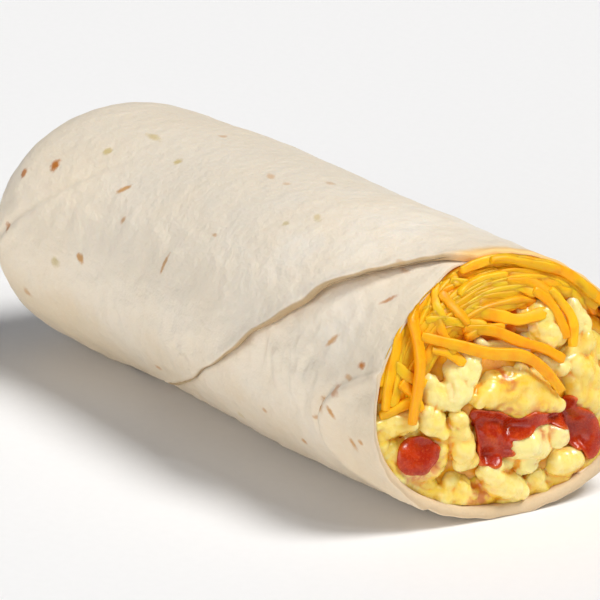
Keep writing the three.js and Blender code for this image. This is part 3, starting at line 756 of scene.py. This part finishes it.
def strand(path, wide, deep, turns, sides, square, cap):  # a solid along a path, rounded at its ends
    ahead = np.gradient(path, axis=0)
    ahead /= np.linalg.norm(ahead, axis=1)[:, None]
    capAngles = np.radians([22, 42, 60, 76])
    places, halfWide, halfDeep, heading, turned = [], [], [], [], []
    for end, sign in ((0, -1), (-1, 1)):
        rows = []
        for angle in capAngles:
            place = path[end] + sign * ahead[end] * wide[end] * cap * math.sin(angle)
            slimmer = math.cos(angle)
            rows.append((place, wide[end] * slimmer, deep[end] * slimmer, ahead[end], turns[end]))
        if end == 0:
            rows = rows[::-1] + list(zip(path, wide, deep, ahead, turns))
        for place, w, d, direction, turn in rows:
            places.append(place)
            halfWide.append(w)
            halfDeep.append(d)
            heading.append(direction)
            turned.append(turn)
    around = np.arange(sides) * 2 * math.pi / sides
    cosine = np.sign(np.cos(around)) * np.abs(np.cos(around)) ** square
    sine = np.sign(np.sin(around)) * np.abs(np.sin(around)) ** square
    points = []
    for place, w, d, direction, turn in zip(places, halfWide, halfDeep, heading, turned):
        side = np.cross(direction, (1, 0, 0.05))
        side /= np.linalg.norm(side)
        out = np.cross(side, direction)
        across = cosine * w * math.cos(turn) - sine * d * math.sin(turn)
        off = cosine * w * math.sin(turn) + sine * d * math.cos(turn)
        points += list(place + across[:, None] * side + off[:, None] * out)
    rings = len(places)
    faces = gridFaces(rings, sides, closed=True)
    for end, sign in ((0, -1), (rings - 1, 1)):
        points.append(places[end] + sign * heading[end] * 0.03 * wide[0])
        for k in range(sides):
            pair = (end * sides + k, end * sides + (k + 1) % sides)
            faces.append((pair if sign > 0 else pair[::-1]) + (len(points) - 1,))
    return points, faces


# Curds of egg in the mouth: how far each stands out, how pale it is, and y, z and half width along it
eggLook = {
    "curds": [
        (1.7, 0.8, [(-12.8, 27.8, 1.7), (-10.7, 24.6, 2.0)]),
        (2.8, 1.0, [(-3.8, 29.8, 2.1), (-5.3, 27.4, 2.8), (-7.0, 23.6, 1.6)]),
        (2.4, 0.35, [
            (-2.4, 23.2, 1.5), (2.4, 23.3, 3.5), (7.6, 22.5, 4.1), (12.1, 20.8, 2.7), (14.9, 19.1, 0.9),
        ]),
        (1.9, 0.6, [(11.8, 36.0, 3.2), (13.0, 32.7, 3.7)]),
        (1.5, 0.6, [(10.5, 28.6, 1.0), (15.2, 26.3, 1.6), (19.0, 27.5, 2.1), (21.0, 30.4, 2.0)]),
        (1.6, 0.9, [(18.3, 37.0, 1.5), (20.6, 32.9, 2.1)]),
        (2.0, 0.45, [(20.9, 23.7, 3.3), (21.8, 19.6, 3.5)]),
        (1.9, 0.55, [(-24.2, 22.2, 1.5), (-21.1, 21.6, 2.2), (-17.7, 21.3, 2.0)]),
        (2.1, 0.6, [(-12.7, 22.0, 1.6), (-11.5, 19.9, 2.1), (-9.9, 17.8, 1.1)]),
        (1.3, 0.5, [(-21.2, 16.3, 2.6), (-16.8, 13.6, 3.6), (-12.0, 13.1, 3.2), (-10.5, 15.6, 2.0)]),
        (2.3, 0.6, [(-6.7, 20.2, 1.4), (-5.5, 15.9, 2.1), (-4.6, 11.8, 2.0)]),
        (1.3, 0.45, [(-7.7, 7.8, 1.7), (-5.5, 6.7, 1.7)]),
        (2.4, 0.75, [(-0.4, 8.9, 1.4), (3.2, 6.2, 2.4), (6.7, 4.0, 2.2)]),
        (3.3, 1.0, [(6.8, 12.2, 2.2), (10.8, 12.9, 3.5), (14.9, 12.8, 2.0)]),
        (2.8, 0.9, [(9.1, 11.7, 2.5), (8.8, 8.8, 2.0)]),
        (1.8, 0.6, [(15.5, 7.6, 2.0), (19.7, 7.5, 2.5)]),
        (1.5, 0.5, [(10.6, 5.5, 2.0), (12.2, 3.3, 1.2)]),
        (1.7, 0.5, [(1.9, 10.0, 1.5), (4.3, 9.8, 1.4)]),
        (0.4, 0.5, [(-24.2, 28.1, 1.1), (-23.2, 25.5, 1.4)]),
        (0.9, 0.8, [(-0.3, 38.3, 0.7), (2.7, 36.9, 0.8)]),
        (1.2, 0.8, [(-2.2, 34.0, 0.6), (2.2, 32.6, 0.7), (7.0, 30.9, 0.6)]),
        (0.7, 0.3, [(-14.2, 8.4, 1.0), (-10.1, 7.1, 1.3)]),
        (0.3, 0.2, [(15.1, 4.2, 1.5), (20.3, 4.1, 1.7)]),
        (0.1, 0.3, [(7.3, 37.9, 2.3), (9.3, 33.1, 2.3)]),
        (0.4, 0.4, [(22.8, 15.1, 2.1), (23.6, 10.4, 2.1)]),
        (0.5, 0.5, [(22.5, 29.7, 1.7), (23.1, 26.8, 1.7)]),
        (0.0, 0.3, [(-1.3, 16.2, 2.3), (2.6, 13.8, 2.9)]),
        (-0.1, 0.3, [(-15.3, 17.7, 2.9), (-8.4, 18.1, 2.3)]),
        (0.6, 0.4, [(-23.6, 19.0, 1.4), (-22.8, 15.3, 1.5)]),
        (0.2, 0.3, [(-2.5, 6.4, 2.0), (1.4, 4.2, 1.5)]),
    ],
    # where the sauce has run: y, z, reach
    "stains": [
        (-16.5, 14.6, 5.2), (0.5, 18.5, 5.0), (-1.2, 14.6, 4.0), (9.0, 18.0, 4.4), (17.5, 15.5, 5.4),
        (21.5, 11.5, 4.4), (-3.5, 4.6, 3.6), (18.0, 4.0, 4.0), (2.0, 26.6, 2.4), (-7.5, 14.6, 1.6),
    ],
    # small curds that close the gap along the tortilla: first and last angle, how many, half width,
    # then the ranges of their size, of how far back they lie and of how far each reaches round
    "rimCurds": (196, 372, 21, 2.0), "rimSizes": (0.7, 1.25), "rimBack": (1.8, 3.2), "rimTurn": (3, 7),
    "sides": 24, "squareness": 0.9, "roundEnd": 0.95, "rimSides": 20, "rimSquareness": 0.95,
    "rimPale": (0.2, 0.6), "corePale": 0.3, "folds": [(5.4, 0.62, 3), (2.7, 0.2, 4)],
    "coreFolds": [(4.6, 0.7, 6)], "wallGap": 0.12, "colourReach": 6, "stainFade": (0.6, 1.15),
    "swell": 1.23, "deepest": 3.4, "coreBelow": 1.0, "voxel": 0.29, "coreVoxel": 1.1, "coreCreaseShade": 0.24,
    # Below, the deep orange is painted shade in the creases and between the curds, and the palest colour
    # serves both for flecks of white and for a painted highlight on the tops.
    "pale": tone(250, 232, 150), "curd": tone(249, 211, 84), "yolk": tone(247, 192, 40),
    "deep": tone(244, 164, 20), "whiteAndHighlight": tone(252, 240, 192), "stain": tone(206, 84, 24),
}


def eggHeap():
    look = eggLook
    parts, centres, paleness = [], [], []
    for out, pale, line in look["curds"]:
        rows = []
        for y, z, half in line:
            half *= look["swell"]
            deep = min(look["deepest"], 0.5 + 0.75 * half)
            rows.append([*(onFace(y, z, out) - np.array([deep, 0, 0])), half, deep])
        rows = smoothPath(rows, 6 * len(rows))
        level = np.zeros(len(rows))
        shape = (look["sides"], look["squareness"], look["roundEnd"])
        parts.append(strand(rows[:, :3], rows[:, 3], rows[:, 4], level, *shape))
        centres += list(rows[:, :3])
        paleness += [pale] * len(rows)
    draw = random.Random(4)
    firstAngle, lastAngle, count, half = look["rimCurds"]
    for angle in np.linspace(firstAngle, lastAngle, count):
        size = half * draw.uniform(*look["rimSizes"])
        x = float(rimX(angle)) - draw.uniform(*look["rimBack"])
        turn = draw.uniform(*look["rimTurn"])
        ends = [roll(x, angle + side * turn, -wallDepth(x, angle) - size * 0.7) for side in (-1, 1)]
        rows = smoothPath([[*end, size, size * 0.9] for end in ends], 6)
        shape = (look["rimSides"], look["rimSquareness"], look["roundEnd"])
        parts.append(strand(rows[:, :3], rows[:, 3], rows[:, 4], np.zeros(len(rows)), *shape))
        centres += list(rows[:, :3])
        paleness += [draw.uniform(*look["rimPale"])] * len(rows)
    heap = remeshed(joined("egg_heap", parts), look["voxel"], 2, 0.4)
    folded(heap, look["folds"])
    core = coreOf("egg", "egg_core", look["coreVoxel"], look["coreBelow"])
    folded(core, look["coreFolds"])
    shown = len(heap.data.vertices)
    heap = merged("scrambled_egg", heap, core)
    keptInside(heap, look["wallGap"])
    paintEgg(heap, shown, np.array(centres), np.array(paleness))
    return heap


def paintEgg(heap, shown, centres, paleness):  # the points after those shown are the core's
    look = eggLook
    points = readPoints(heap)
    pale, stain = np.full(len(points), look["corePale"]), np.zeros(len(points))
    stained, clean = look["stainFade"]
    for first in range(0, len(points), 4000):
        some = slice(first, first + 4000)
        away = np.linalg.norm(points[some, None] - centres[None], axis=2)
        near = away.argmin(1)
        pale[some] = np.where(away.min(1) < look["colourReach"], paleness[near], look["corePale"])
        for y, z, reach in look["stains"]:
            spot = onFace(y, z)
            distance = np.linalg.norm((points[some] - spot) * (0.5, 1, 1), axis=1)
            stain[some] = np.maximum(stain[some], 1 - rise(distance, reach * stained, reach * clean))
    pale[shown:] = 0  # painted shade: what shows between the curds is the darker yolk yellow
    hollow = hollowness(heap, 14)
    hollow[shown:] = look["coreCreaseShade"]
    paintPoints(heap, "pale", pale)
    paintPoints(heap, "stain", stain)
    paintPoints(heap, "hollow", hollow)


def eggMaterial():
    look = eggLook
    m = Recipe("scrambled_egg")
    spot = m.place()
    broad = m.speckle(spot, 5.0, 2.0, 0.55, 0.6)
    patches = m.speckle(spot, 2.0, 3.0, 0.6)
    fine = m.speckle(spot, 0.6, 3.0, 0.6)
    paleness = m.attribute("pale") + (broad - 0.5) * 1.1 + (patches - 0.5) * 0.5
    colour = m.mix(m.step(paleness, 0.25, 0.95), look["curd"], look["pale"])
    colour = m.mix(m.step(paleness, 0.42, 0.0) * 0.8, colour, look["yolk"])
    colour = m.mix(m.step(fine, 0.62, 0.82) * 0.25, colour, look["whiteAndHighlight"])
    hollow = m.attribute("hollow")
    # Painted shade: deep orange in the creases between swells, and on the core between the curds.
    colour = m.mix(m.step(hollow, 0.0, 0.28) * 0.92, colour, look["deep"])
    # Painted highlight: the tops of the swells are made paler.
    colour = m.mix(m.step(hollow, -0.08, -0.4) * 0.3, colour, look["whiteAndHighlight"])
    stained = m.attribute("stain") * m.step(patches + hollow * 0.5, 0.36, 0.62)
    colour = m.mix(stained * 0.75, colour, look["stain"])
    soft = m.bump(patches, 0.25, 0.4)
    pores = m.bump(fine, 0.25, 0.08, soft)
    return m.finish({
        "Base Color": colour, "Roughness": m.step(patches, 0.3, 0.7, 0.18, 0.4), "Normal": pores,
        "Subsurface Weight": 0.45, "Subsurface Radius": (1.0, 0.75, 0.2), "Subsurface Scale": 2.2 * mm,
        "Coat Weight": 0.35, "Coat Roughness": 0.08,
    })


topGrid = {"fromX": 62, "y": (-30, 34), "z": (-4, 56), "cell": 0.5, "smoothing": 5}


def makeTopMap(piece):  # how far out the piece stands over each spot of the mouth
    grid = topGrid
    cell = grid["cell"]
    points = readPoints(piece)
    points = points[points[:, 0] > grid["fromX"]]
    ys, zs = np.arange(*grid["y"], cell), np.arange(*grid["z"], cell)
    top = np.full((len(ys), len(zs)), -1.0)
    column = np.clip(((points[:, 1] - ys[0]) / cell).round().astype(int), 0, len(ys) - 1)
    row = np.clip(((points[:, 2] - zs[0]) / cell).round().astype(int), 0, len(zs) - 1)
    np.maximum.at(top, (column, row), points[:, 0])
    known = top > 0
    filled = np.where(known, top, points[:, 0].mean())
    for _ in range(grid["smoothing"]):
        around = [np.roll(filled, shift, axis) for axis in (0, 1) for shift in (-1, 1)]
        filled = (filled + sum(around)) / 5
    return ys, zs, filled


def topOver(topMap, y, z):
    ys, zs, heights = topMap
    column = np.clip((np.asarray(y) - ys[0]) / topGrid["cell"], 0, len(ys) - 1.01)
    row = np.clip((np.asarray(z) - zs[0]) / topGrid["cell"], 0, len(zs) - 1.01)
    i, j = column.astype(int), row.astype(int)
    u, v = column - i, row - j
    low = heights[i, j] * (1 - u) + heights[i + 1, j] * u
    high = heights[i, j + 1] * (1 - u) + heights[i + 1, j + 1] * u
    return low * (1 - v) + high * v


def onTop(topMap, y, z):  # from the plane of the mouth, along the line of sight, to what lies there
    sight = np.array(fillingForm["towardsViewer"])
    point = np.array([fillingForm["viewPlaneX"], y, z], float)
    for _ in range(12):
        point = point + 0.7 * sight * (topOver(topMap, point[1], point[2]) - point[0]) / sight[0]
    return point


egg = eggHeap()
asPart(egg, "egg", eggMaterial())
eggTop = makeTopMap(egg)

# Shreds of cheese: how far each stands out, its width, and y and z from end to end
cheeseLook = {
    "shreds": [
        (3.4, 2.7, [
            (-13.8, 49.1), (-16.5, 45.5), (-17.1, 41.0), (-15.8, 35.3), (-15.7, 29.9), (-17.2, 21.4),
        ]),
        (2.0, 2.4, [(-19.0, 42.4), (-21.7, 38.0), (-23.5, 34.0), (-24.4, 29.8)]),
        (3.0, 2.0, [(-11.2, 44.8), (-8.7, 42.0), (-5.2, 38.1)]),
        (2.9, 1.8, [(-7.1, 43.9), (-4.9, 45.4), (-1.8, 46.0), (3.0, 46.1)]),
        (3.2, 2.4, [(-15.2, 37.4), (-8.6, 34.9), (-0.9, 31.9), (6.8, 30.0), (11.3, 26.7), (15.3, 22.0)]),
        (2.5, 2.2, [(-6.1, 37.4), (0.3, 35.8), (6.1, 32.8), (11.3, 30.6), (15.5, 27.9)]),
        (2.0, 2.6, [(-4.2, 40.4), (2.1, 38.2), (6.0, 37.0), (11.8, 37.4)]),
        (2.7, 1.9, [(9.1, 42.0), (12.4, 39.5), (15.0, 35.4), (16.4, 31.9)]),
        (3.0, 2.1, [(12.7, 41.4), (15.3, 38.7), (17.6, 35.0), (17.8, 30.0)]),
        (1.8, 2.6, [(-8.2, 50.6), (0.7, 49.0), (8.4, 45.4), (16.2, 41.9), (23.3, 36.8)]),
        (1.2, 2.4, [(-11.9, 50.4), (-4.4, 48.6), (3.3, 47.3), (9.7, 44.6)]),
        (2.0, 2.2, [(-21.1, 33.3), (-17.9, 30.3), (-14.5, 28.5)]),
        (2.2, 2.1, [(-11.6, 49.0), (-8.7, 47.7), (-7.5, 45.6)]),
        (1.8, 2.3, [(-14.3, 37.2), (-10.5, 37.7), (-5.5, 37.3)]),
        (1.7, 2.2, [(-23.9, 24.0), (-21.0, 24.6), (-16.6, 25.9)]),
        (1.6, 2.4, [(-2.4, 41.7), (3.3, 42.1), (8.4, 42.6)]),
        (1.6, 2.2, [(-20.5, 37.2), (-19.8, 33.3), (-20.4, 28.5), (-21.6, 25.5)]),
        (2.3, 2.1, [(-20.4, 40.6), (-20.9, 35.0), (-22.4, 29.6), (-22.9, 25.0)]),
        (2.6, 2.0, [(-12.8, 41.6), (-10.9, 37.4), (-8.2, 33.2)]),
        (2.5, 2.2, [(-14.4, 40.2), (-8.0, 38.9), (-1.6, 37.0)]),
        (2.2, 2.0, [(-19.6, 29.4), (-17.0, 26.8), (-15.4, 23.6)]),
        (2.7, 1.9, [(-12.4, 46.9), (-12.2, 43.0), (-10.6, 39.6)]),
        (2.4, 2.1, [(-13.0, 34.6), (-9.4, 33.4), (-6.2, 30.8)]),
        (2.5, 2.2, [(3.2, 44.6), (9.4, 43.0), (14.6, 39.2)]),
        (2.2, 2.3, [(-9.0, 46.8), (-2.2, 44.4), (4.8, 43.6), (9.2, 41.4)]),
        (2.1, 2.0, [(-5.6, 35.6), (-1.8, 36.6), (2.4, 36.0)]),
    ],
    # shreds strewn between them: how many, over which y and z, length, bow, and the direction
    # with its scatter, to the right and to the left of a place
    "more": 92, "spread": (-24.5, 24.0, 23.0, 50.5), "length": (8, 17), "bow": 1.4,
    "leanRight": (0.02, 0.2), "leanLeft": (1.2, 0.35), "leftOf": -11,
    "out": (0.3, 1.9), "width": (1.7, 2.5), "thickness": 1.25, "seed": 12,
    # shreds that lie along the tortilla: how many, how near the middle and the tortilla, angles
    "along": 58, "ringFrom": 0.62, "ringTo": 0.95, "angleFrom": 20, "angleTo": 178, "sunkEnds": 1.1,
    "arc": (26, 52), "drift": 0.08,
    # below this line, given as y and z, the mouth shows egg
    "floor": [(-40, 22), (-23.7, 22.5), (-15.7, 25), (-14.2, 31), (-8.9, 33.9), (1.1, 33.5), (7, 38.5),
              (16.7, 38.5), (25.5, 33.2), (40, 30)],
    "coreBelow": 0.2, "coreVoxel": 0.9, "coreFolds": [(2.4, 0.4, 8)], "coreShade": 0.35,
    "brightAbove": 1.3, "aboveFloor": 0.4, "wallGap": 0.1, "pastRim": 1.0,
    # Below, the deep orange is painted shade further in among the shreds, and the light colour is also used
    # as a painted highlight on their edges.
    "mid": tone(255, 171, 2), "light": tone(255, 191, 24), "dark": tone(251, 147, 2),
    "deep": tone(252, 134, 6), "slim": 0.88, "sides": 12, "raised": 0.5,
    # shreds that hang over the rim at the top: first and last angle, how far past the rim, width
    "overRim": [(104, 66, 0.3, 2.2), (78, 38, 0.5, 2.4), (48, 12, 0.3, 2.2), (90, 58, 0.9, 1.8)],
}


def shred(line, out, width, seed):
    back = np.array([cheeseLook["thickness"] / 2, 0, 0])
    return shredAlong([onFace(y, z, out) - back for y, z in line], width, seed)


def shredAlong(points, width, seed):
    look = cheeseLook
    draw = random.Random(seed)
    path = smoothPath(points, 6 + 3 * len(points))
    share = np.linspace(0, 1, len(path))
    wave = 1 + 0.09 * np.sin(seed + 8 * share) + 0.05 * np.sin(seed * 2 + 23 * share)
    tapered = np.minimum(1, 0.82 + 3 * np.minimum(share, 1 - share))
    turns = draw.uniform(-0.4, 0.4) + draw.uniform(-0.7, 0.7) * (share - 0.5)
    half = width / 2 * look["slim"] * wave * tapered
    deep = look["thickness"] / 2 * (1 + 0.1 * np.sin(seed * 3 + 11 * share))
    return strand(path, half, deep, turns, look["sides"], 0.42, 0.3)


shredShares = np.array([-0.5, -0.3, 0.0, 0.3, 0.5])


def onFaceAlong(y, z, out):  # a shred's points on the filling's front, with its ends sunk in
    lifts = out - cheeseLook["sunkEnds"] * (2 * shredShares) ** 4
    return np.array([onFace(*spot) for spot in zip(y, z, lifts)])


def shredAlongTortilla(draw):
    look = cheeseLook
    form = fillingForm
    out = draw.uniform(*look["out"]) + look["raised"]
    ring = draw.uniform(look["ringFrom"], look["ringTo"])
    middle = draw.uniform(look["angleFrom"], look["angleTo"])
    turns = np.radians(middle + shredShares * draw.uniform(*look["arc"]) / ring)
    rings = ring + draw.uniform(-look["drift"], look["drift"]) * shredShares
    y = form["mouthY"] + form["mouthHalfY"] * rings * np.cos(turns)
    z = form["mouthZ"] + form["mouthHalfZ"] * rings * np.sin(turns)
    return onFaceAlong(y, z, out)


def strewnShred(draw):
    look = cheeseLook
    out = draw.uniform(*look["out"])
    length = draw.uniform(*look["length"])
    bend = draw.uniform(-look["bow"], look["bow"]) * (1 - 4 * shredShares ** 2)
    lowY, highY, lowZ, highZ = look["spread"]
    middleY = draw.uniform(lowY, highY)
    middleZ = draw.uniform(lowZ, highZ)
    direction = draw.gauss(*look["leanRight" if middleY > look["leftOf"] else "leanLeft"])
    y = middleY + length * shredShares * math.cos(direction) - bend * math.sin(direction)
    z = middleZ + length * shredShares * math.sin(direction) + bend * math.cos(direction)
    return onFaceAlong(y, z, out)


def cheeseHeap():
    look = cheeseLook
    form = fillingForm
    parts = [shred(line, out, width, i) for i, (out, width, line) in enumerate(look["shreds"])]
    draw = random.Random(look["seed"])
    floorY, floorZ = zip(*look["floor"])
    count = 0
    while count < look["more"] + look["along"]:
        spots = shredAlongTortilla(draw) if count < look["along"] else strewnShred(draw)
        across = (spots[:, 1] - form["mouthY"]) / form["mouthHalfY"]
        up = (spots[:, 2] - form["mouthZ"]) / form["mouthHalfZ"]
        inMouth = across ** 2 + up ** 2 < 1
        aboveEgg = spots[:, 2] > np.interp(spots[:, 1], floorY, floorZ) + look["aboveFloor"]
        if inMouth.all() and aboveEgg.all():
            spots[:, 0] -= look["thickness"] / 2
            parts.append(shredAlong(spots, draw.uniform(*look["width"]), 100 + len(parts)))
            count += 1
    for i, (first, last, past, width) in enumerate(look["overRim"]):
        angles = np.linspace(first, last, 6)
        x = rimX(angles) + past
        parts.append(shredAlong(roll(x, angles, -1.5 - 0.25 * np.sin(angles / 5)), width, 300 + i))
    heap = joined("cheese_heap", parts)
    core = coreOf("cheese", "cheese_core", look["coreVoxel"], look["coreBelow"])
    folded(core, look["coreFolds"])
    paintPoints(core, "shade", [look["coreShade"]] * len(core.data.vertices))
    heap = merged("shredded_cheese", heap, core)
    keptInside(heap, look["wallGap"], look["pastRim"])
    points = readPoints(heap)
    # Painted shade: how far each point lies behind the filling's front sets its deep orange.
    depth = faceX(points[:, 1], points[:, 2]) + look["brightAbove"] - points[:, 0]
    paintPoints(heap, "depth", depth)
    paintPoints(heap, "hollow", hollowness(heap, 3))
    return heap


def cheeseMaterial():
    look = cheeseLook
    m = Recipe("shredded_cheese")
    spot = m.place()
    shade = m.attribute("shade")
    cloud = m.speckle(spot, 3.0, 2.0)
    fine = m.speckle(spot, 0.6, 2.0, 0.6)
    colour = m.mix(m.step(shade, 0.2, 1.0), look["mid"], look["light"])
    colour = m.mix(m.step(cloud + shade * 0.2, 0.62, 0.8) * 0.6, colour, look["light"])
    colour = m.mix(m.step(cloud, 0.5, 0.3) * 0.5, colour, look["dark"])
    # Painted shade: deep orange further in among the shreds.
    colour = m.mix(m.step(m.attribute("depth"), -0.2, 1.4) * 0.85, colour, look["deep"])
    # Painted highlight: the edges of the shreds are made lighter.
    colour = m.mix(m.step(m.attribute("hollow"), -0.05, -0.2) * 0.25, colour, look["light"])
    skin = m.bump(fine, 0.25, 0.08, m.bump(cloud, 0.3, 0.3))
    return m.finish({
        "Base Color": colour, "Roughness": m.step(fine, 0.3, 0.7, 0.36, 0.52), "Normal": skin,
        "Subsurface Weight": 0.45, "Subsurface Radius": (1.0, 0.55, 0.06), "Subsurface Scale": 1.5 * mm,
        "Specular IOR Level": 0.35,
    })


asPart(cheeseHeap(), "cheese", cheeseMaterial())

# Pools of sauce in the mouth: y, z and half width along each
sauceLook = {
    "front": [
        [(-17.4, 15.0, 3.3), (-16.4, 15.1, 3.7), (-15.6, 15.4, 3.3)],
        [(-14.6, 16.2, 1.5), (-12.8, 16.2, 1.0)], [(-17.6, 17.4, 1.3), (-16.2, 18.2, 1.1)],
    ],
    "back": [
        [
            (-4.6, 21.4, 1.1), (-1.5, 19.7, 2.2), (2.0, 17.7, 2.3), (5.6, 17.2, 1.7), (8.6, 17.9, 1.6),
            (11.6, 17.6, 1.0),
        ],
        [(-1.6, 19.0, 2.4), (-0.8, 15.8, 2.5), (-0.6, 12.4, 1.9)], [(1.2, 16.6, 1.6), (2.6, 14.2, 0.9)],
        [(1.8, 12.6, 0.9), (3.6, 12.2, 0.7)], [(-3.0, 14.8, 1.0), (-2.8, 12.2, 1.0)],
        [(12.6, 17.6, 1.3), (15.8, 17.3, 2.5), (18.8, 15.2, 3.0), (21.2, 12.4, 3.0), (22.0, 9.6, 2.0)],
        [(15.4, 18.8, 1.3), (16.8, 19.9, 1.1)], [(17.0, 13.0, 1.2), (18.6, 11.4, 1.0)],
    ],
    "depth": 0.9, "raised": 0.12, "voxel": 0.26, "folds": [(3.4, 0.16, 9)],
    "coreVoxel": 0.5, "coreBelow": 1.5, "wallGap": 0.1,
    "red": tone(188, 56, 10), "dark": tone(166, 38, 8), "bright": tone(222, 106, 24),
}


def saucePool(name, pools, node, material):
    look = sauceLook
    parts = []
    for line in pools:
        rows = [[0, *onTop(eggTop, y, z)[1:], half] for y, z, half in line]
        rows = smoothPath(rows, 7 * len(rows))
        deep = np.minimum(look["depth"], 0.5 + 0.35 * rows[:, 3])
        parts.append(strand(rows[:, :3], rows[:, 3], deep, np.zeros(len(rows)), 24, 0.9, 1.0))
    pool = remeshed(joined(name + "_pools", parts), look["voxel"], 8, 0.5)
    folded(pool, look["folds"])
    points = readPoints(pool)
    points[:, 0] += topOver(eggTop, points[:, 1], points[:, 2]) + look["raised"]
    writePoints(pool, points)
    pool = merged(name, pool, coreOf(node, name + "_core", look["coreVoxel"], look["coreBelow"]))
    keptInside(pool, look["wallGap"])
    paintPoints(pool, "hollow", hollowness(pool, 10))
    asPart(pool, node, material)


def sauceMaterial():
    look = sauceLook
    m = Recipe("red_sauce")
    spot = m.place()
    cloud = m.speckle(spot, 2.2, 3.0, 0.6)
    fine = m.speckle(spot, 0.5, 2.0, 0.6)
    colour = m.mix(m.step(cloud, 0.35, 0.62), look["red"], look["dark"])
    colour = m.mix(m.step(fine, 0.6, 0.78) * 0.5, colour, look["bright"])
    colour = m.mix(m.step(m.attribute("hollow"), -0.04, -0.32) * 0.75, colour, look["bright"])
    skin = m.bump(fine, 0.25, 0.15, m.bump(cloud, 0.3, 0.4))
    return m.finish({
        "Base Color": colour, "Roughness": m.step(fine, 0.3, 0.7, 0.16, 0.34), "Normal": skin,
        "Subsurface Weight": 0.12, "Subsurface Radius": (1.0, 0.25, 0.06), "Subsurface Scale": 1.0 * mm,
        "Specular IOR Level": 0.35, "Coat Weight": 0.12, "Coat Roughness": 0.05,
    })


sauceRed = sauceMaterial()
saucePool("sauce_pool_front", sauceLook["front"], "sauce_front", sauceRed)
saucePool("sauce_pool_back", sauceLook["back"], "sauce_back", sauceRed)


# Suns stand for wide softboxes: azimuth from +X, elevation and angle across in degrees, strength, colour
stageLook = {
    "floor": tone(247, 246, 245), "floorGrain": tone(246, 245, 244), "floorSize": 6.0,
    "sky": (0.88, 0.98, 1.14, 1), "skyStrength": 0.105,
    "suns": {
        "keySoftbox": (40, 58, 24, 2.76, (1.0, 0.985, 0.965)),
        "lowCard": (-64, 8, 60, 1.75, (0.97, 0.99, 1.02)),
        "glint": (10, 50, 3, 0.22, (1, 1, 1)),
    },
}


def makeStage():
    look = stageLook
    half = look["floorSize"] / 2
    corners = [(-half, -half, 0), (half, -half, 0), (half, half, 0), (-half, half, 0)]
    mesh = bpy.data.meshes.new("floor")
    mesh.from_pydata(corners, [], [(0, 1, 2, 3)])
    floor = bpy.data.objects.new("floor", mesh)
    bpy.context.scene.collection.objects.link(floor)
    m = Recipe("pale_floor")
    grain = m.speckle(m.place(), 2.0, 2.0)
    colour = m.mix(m.step(grain, 0.3, 0.7), look["floor"], look["floorGrain"])
    mesh.materials.append(m.finish({"Base Color": colour, "Roughness": 0.9, "Specular IOR Level": 0.1}))
    world = bpy.data.worlds.new("studio")
    world.use_nodes = True
    sky = world.node_tree.nodes["Background"].inputs
    sky["Color"].default_value = look["sky"]
    sky["Strength"].default_value = look["skyStrength"]
    bpy.context.scene.world = world
    for name, (azimuth, elevation, across, strength, colour) in look["suns"].items():
        a, e = math.radians(azimuth), math.radians(elevation)
        light = bpy.data.lights.new(name, "SUN")
        light.angle = math.radians(across)
        light.energy = strength
        light.color = colour
        lamp = bpy.data.objects.new(name, light)
        towards = Vector((math.cos(a) * math.cos(e), math.sin(a) * math.cos(e), math.sin(e)))
        lamp.rotation_euler = towards.to_track_quat("Z", "Y").to_euler()
        bpy.context.scene.collection.objects.link(lamp)


# The photo's view: degrees, millimetres, and pixels of a picture 600 wide
viewForm = {
    "azimuth": 57.55, "elevation": 17.25, "distance": 900, "target": (0, 0, 28),
    "pixelsPerMm": 5.192, "targetPixel": (283.36, 276.48), "picture": 600, "sensor": 36,
}


def makeCamera():
    view = viewForm
    a, e = math.radians(view["azimuth"]), math.radians(view["elevation"])
    back = Vector((math.sin(a) * math.cos(e), -math.cos(a) * math.cos(e), math.sin(e)))
    right = Vector((math.cos(a), math.sin(a), 0))
    up = back.cross(right)
    half = view["picture"] / 2
    aside = (half - view["targetPixel"][0]) / view["pixelsPerMm"]
    above = (view["targetPixel"][1] - half) / view["pixelsPerMm"]
    place = Vector(view["target"]) + rollToFrame + right * aside + up * above + back * view["distance"]
    data = bpy.data.cameras.new("camera")
    data.sensor_width = view["sensor"]
    data.lens = view["pixelsPerMm"] * view["distance"] / view["picture"] * view["sensor"]
    data.clip_start = 0.01
    camera = bpy.data.objects.new("camera", data)
    camera.matrix_world = Matrix.Translation(place * mm) @ Matrix((right, up, back)).transposed().to_4x4()
    bpy.context.scene.collection.objects.link(camera)
    bpy.context.scene.camera = camera


makeStage()
makeCamera()
bpy.context.scene.view_settings.view_transform = "Standard"
print("stage made")
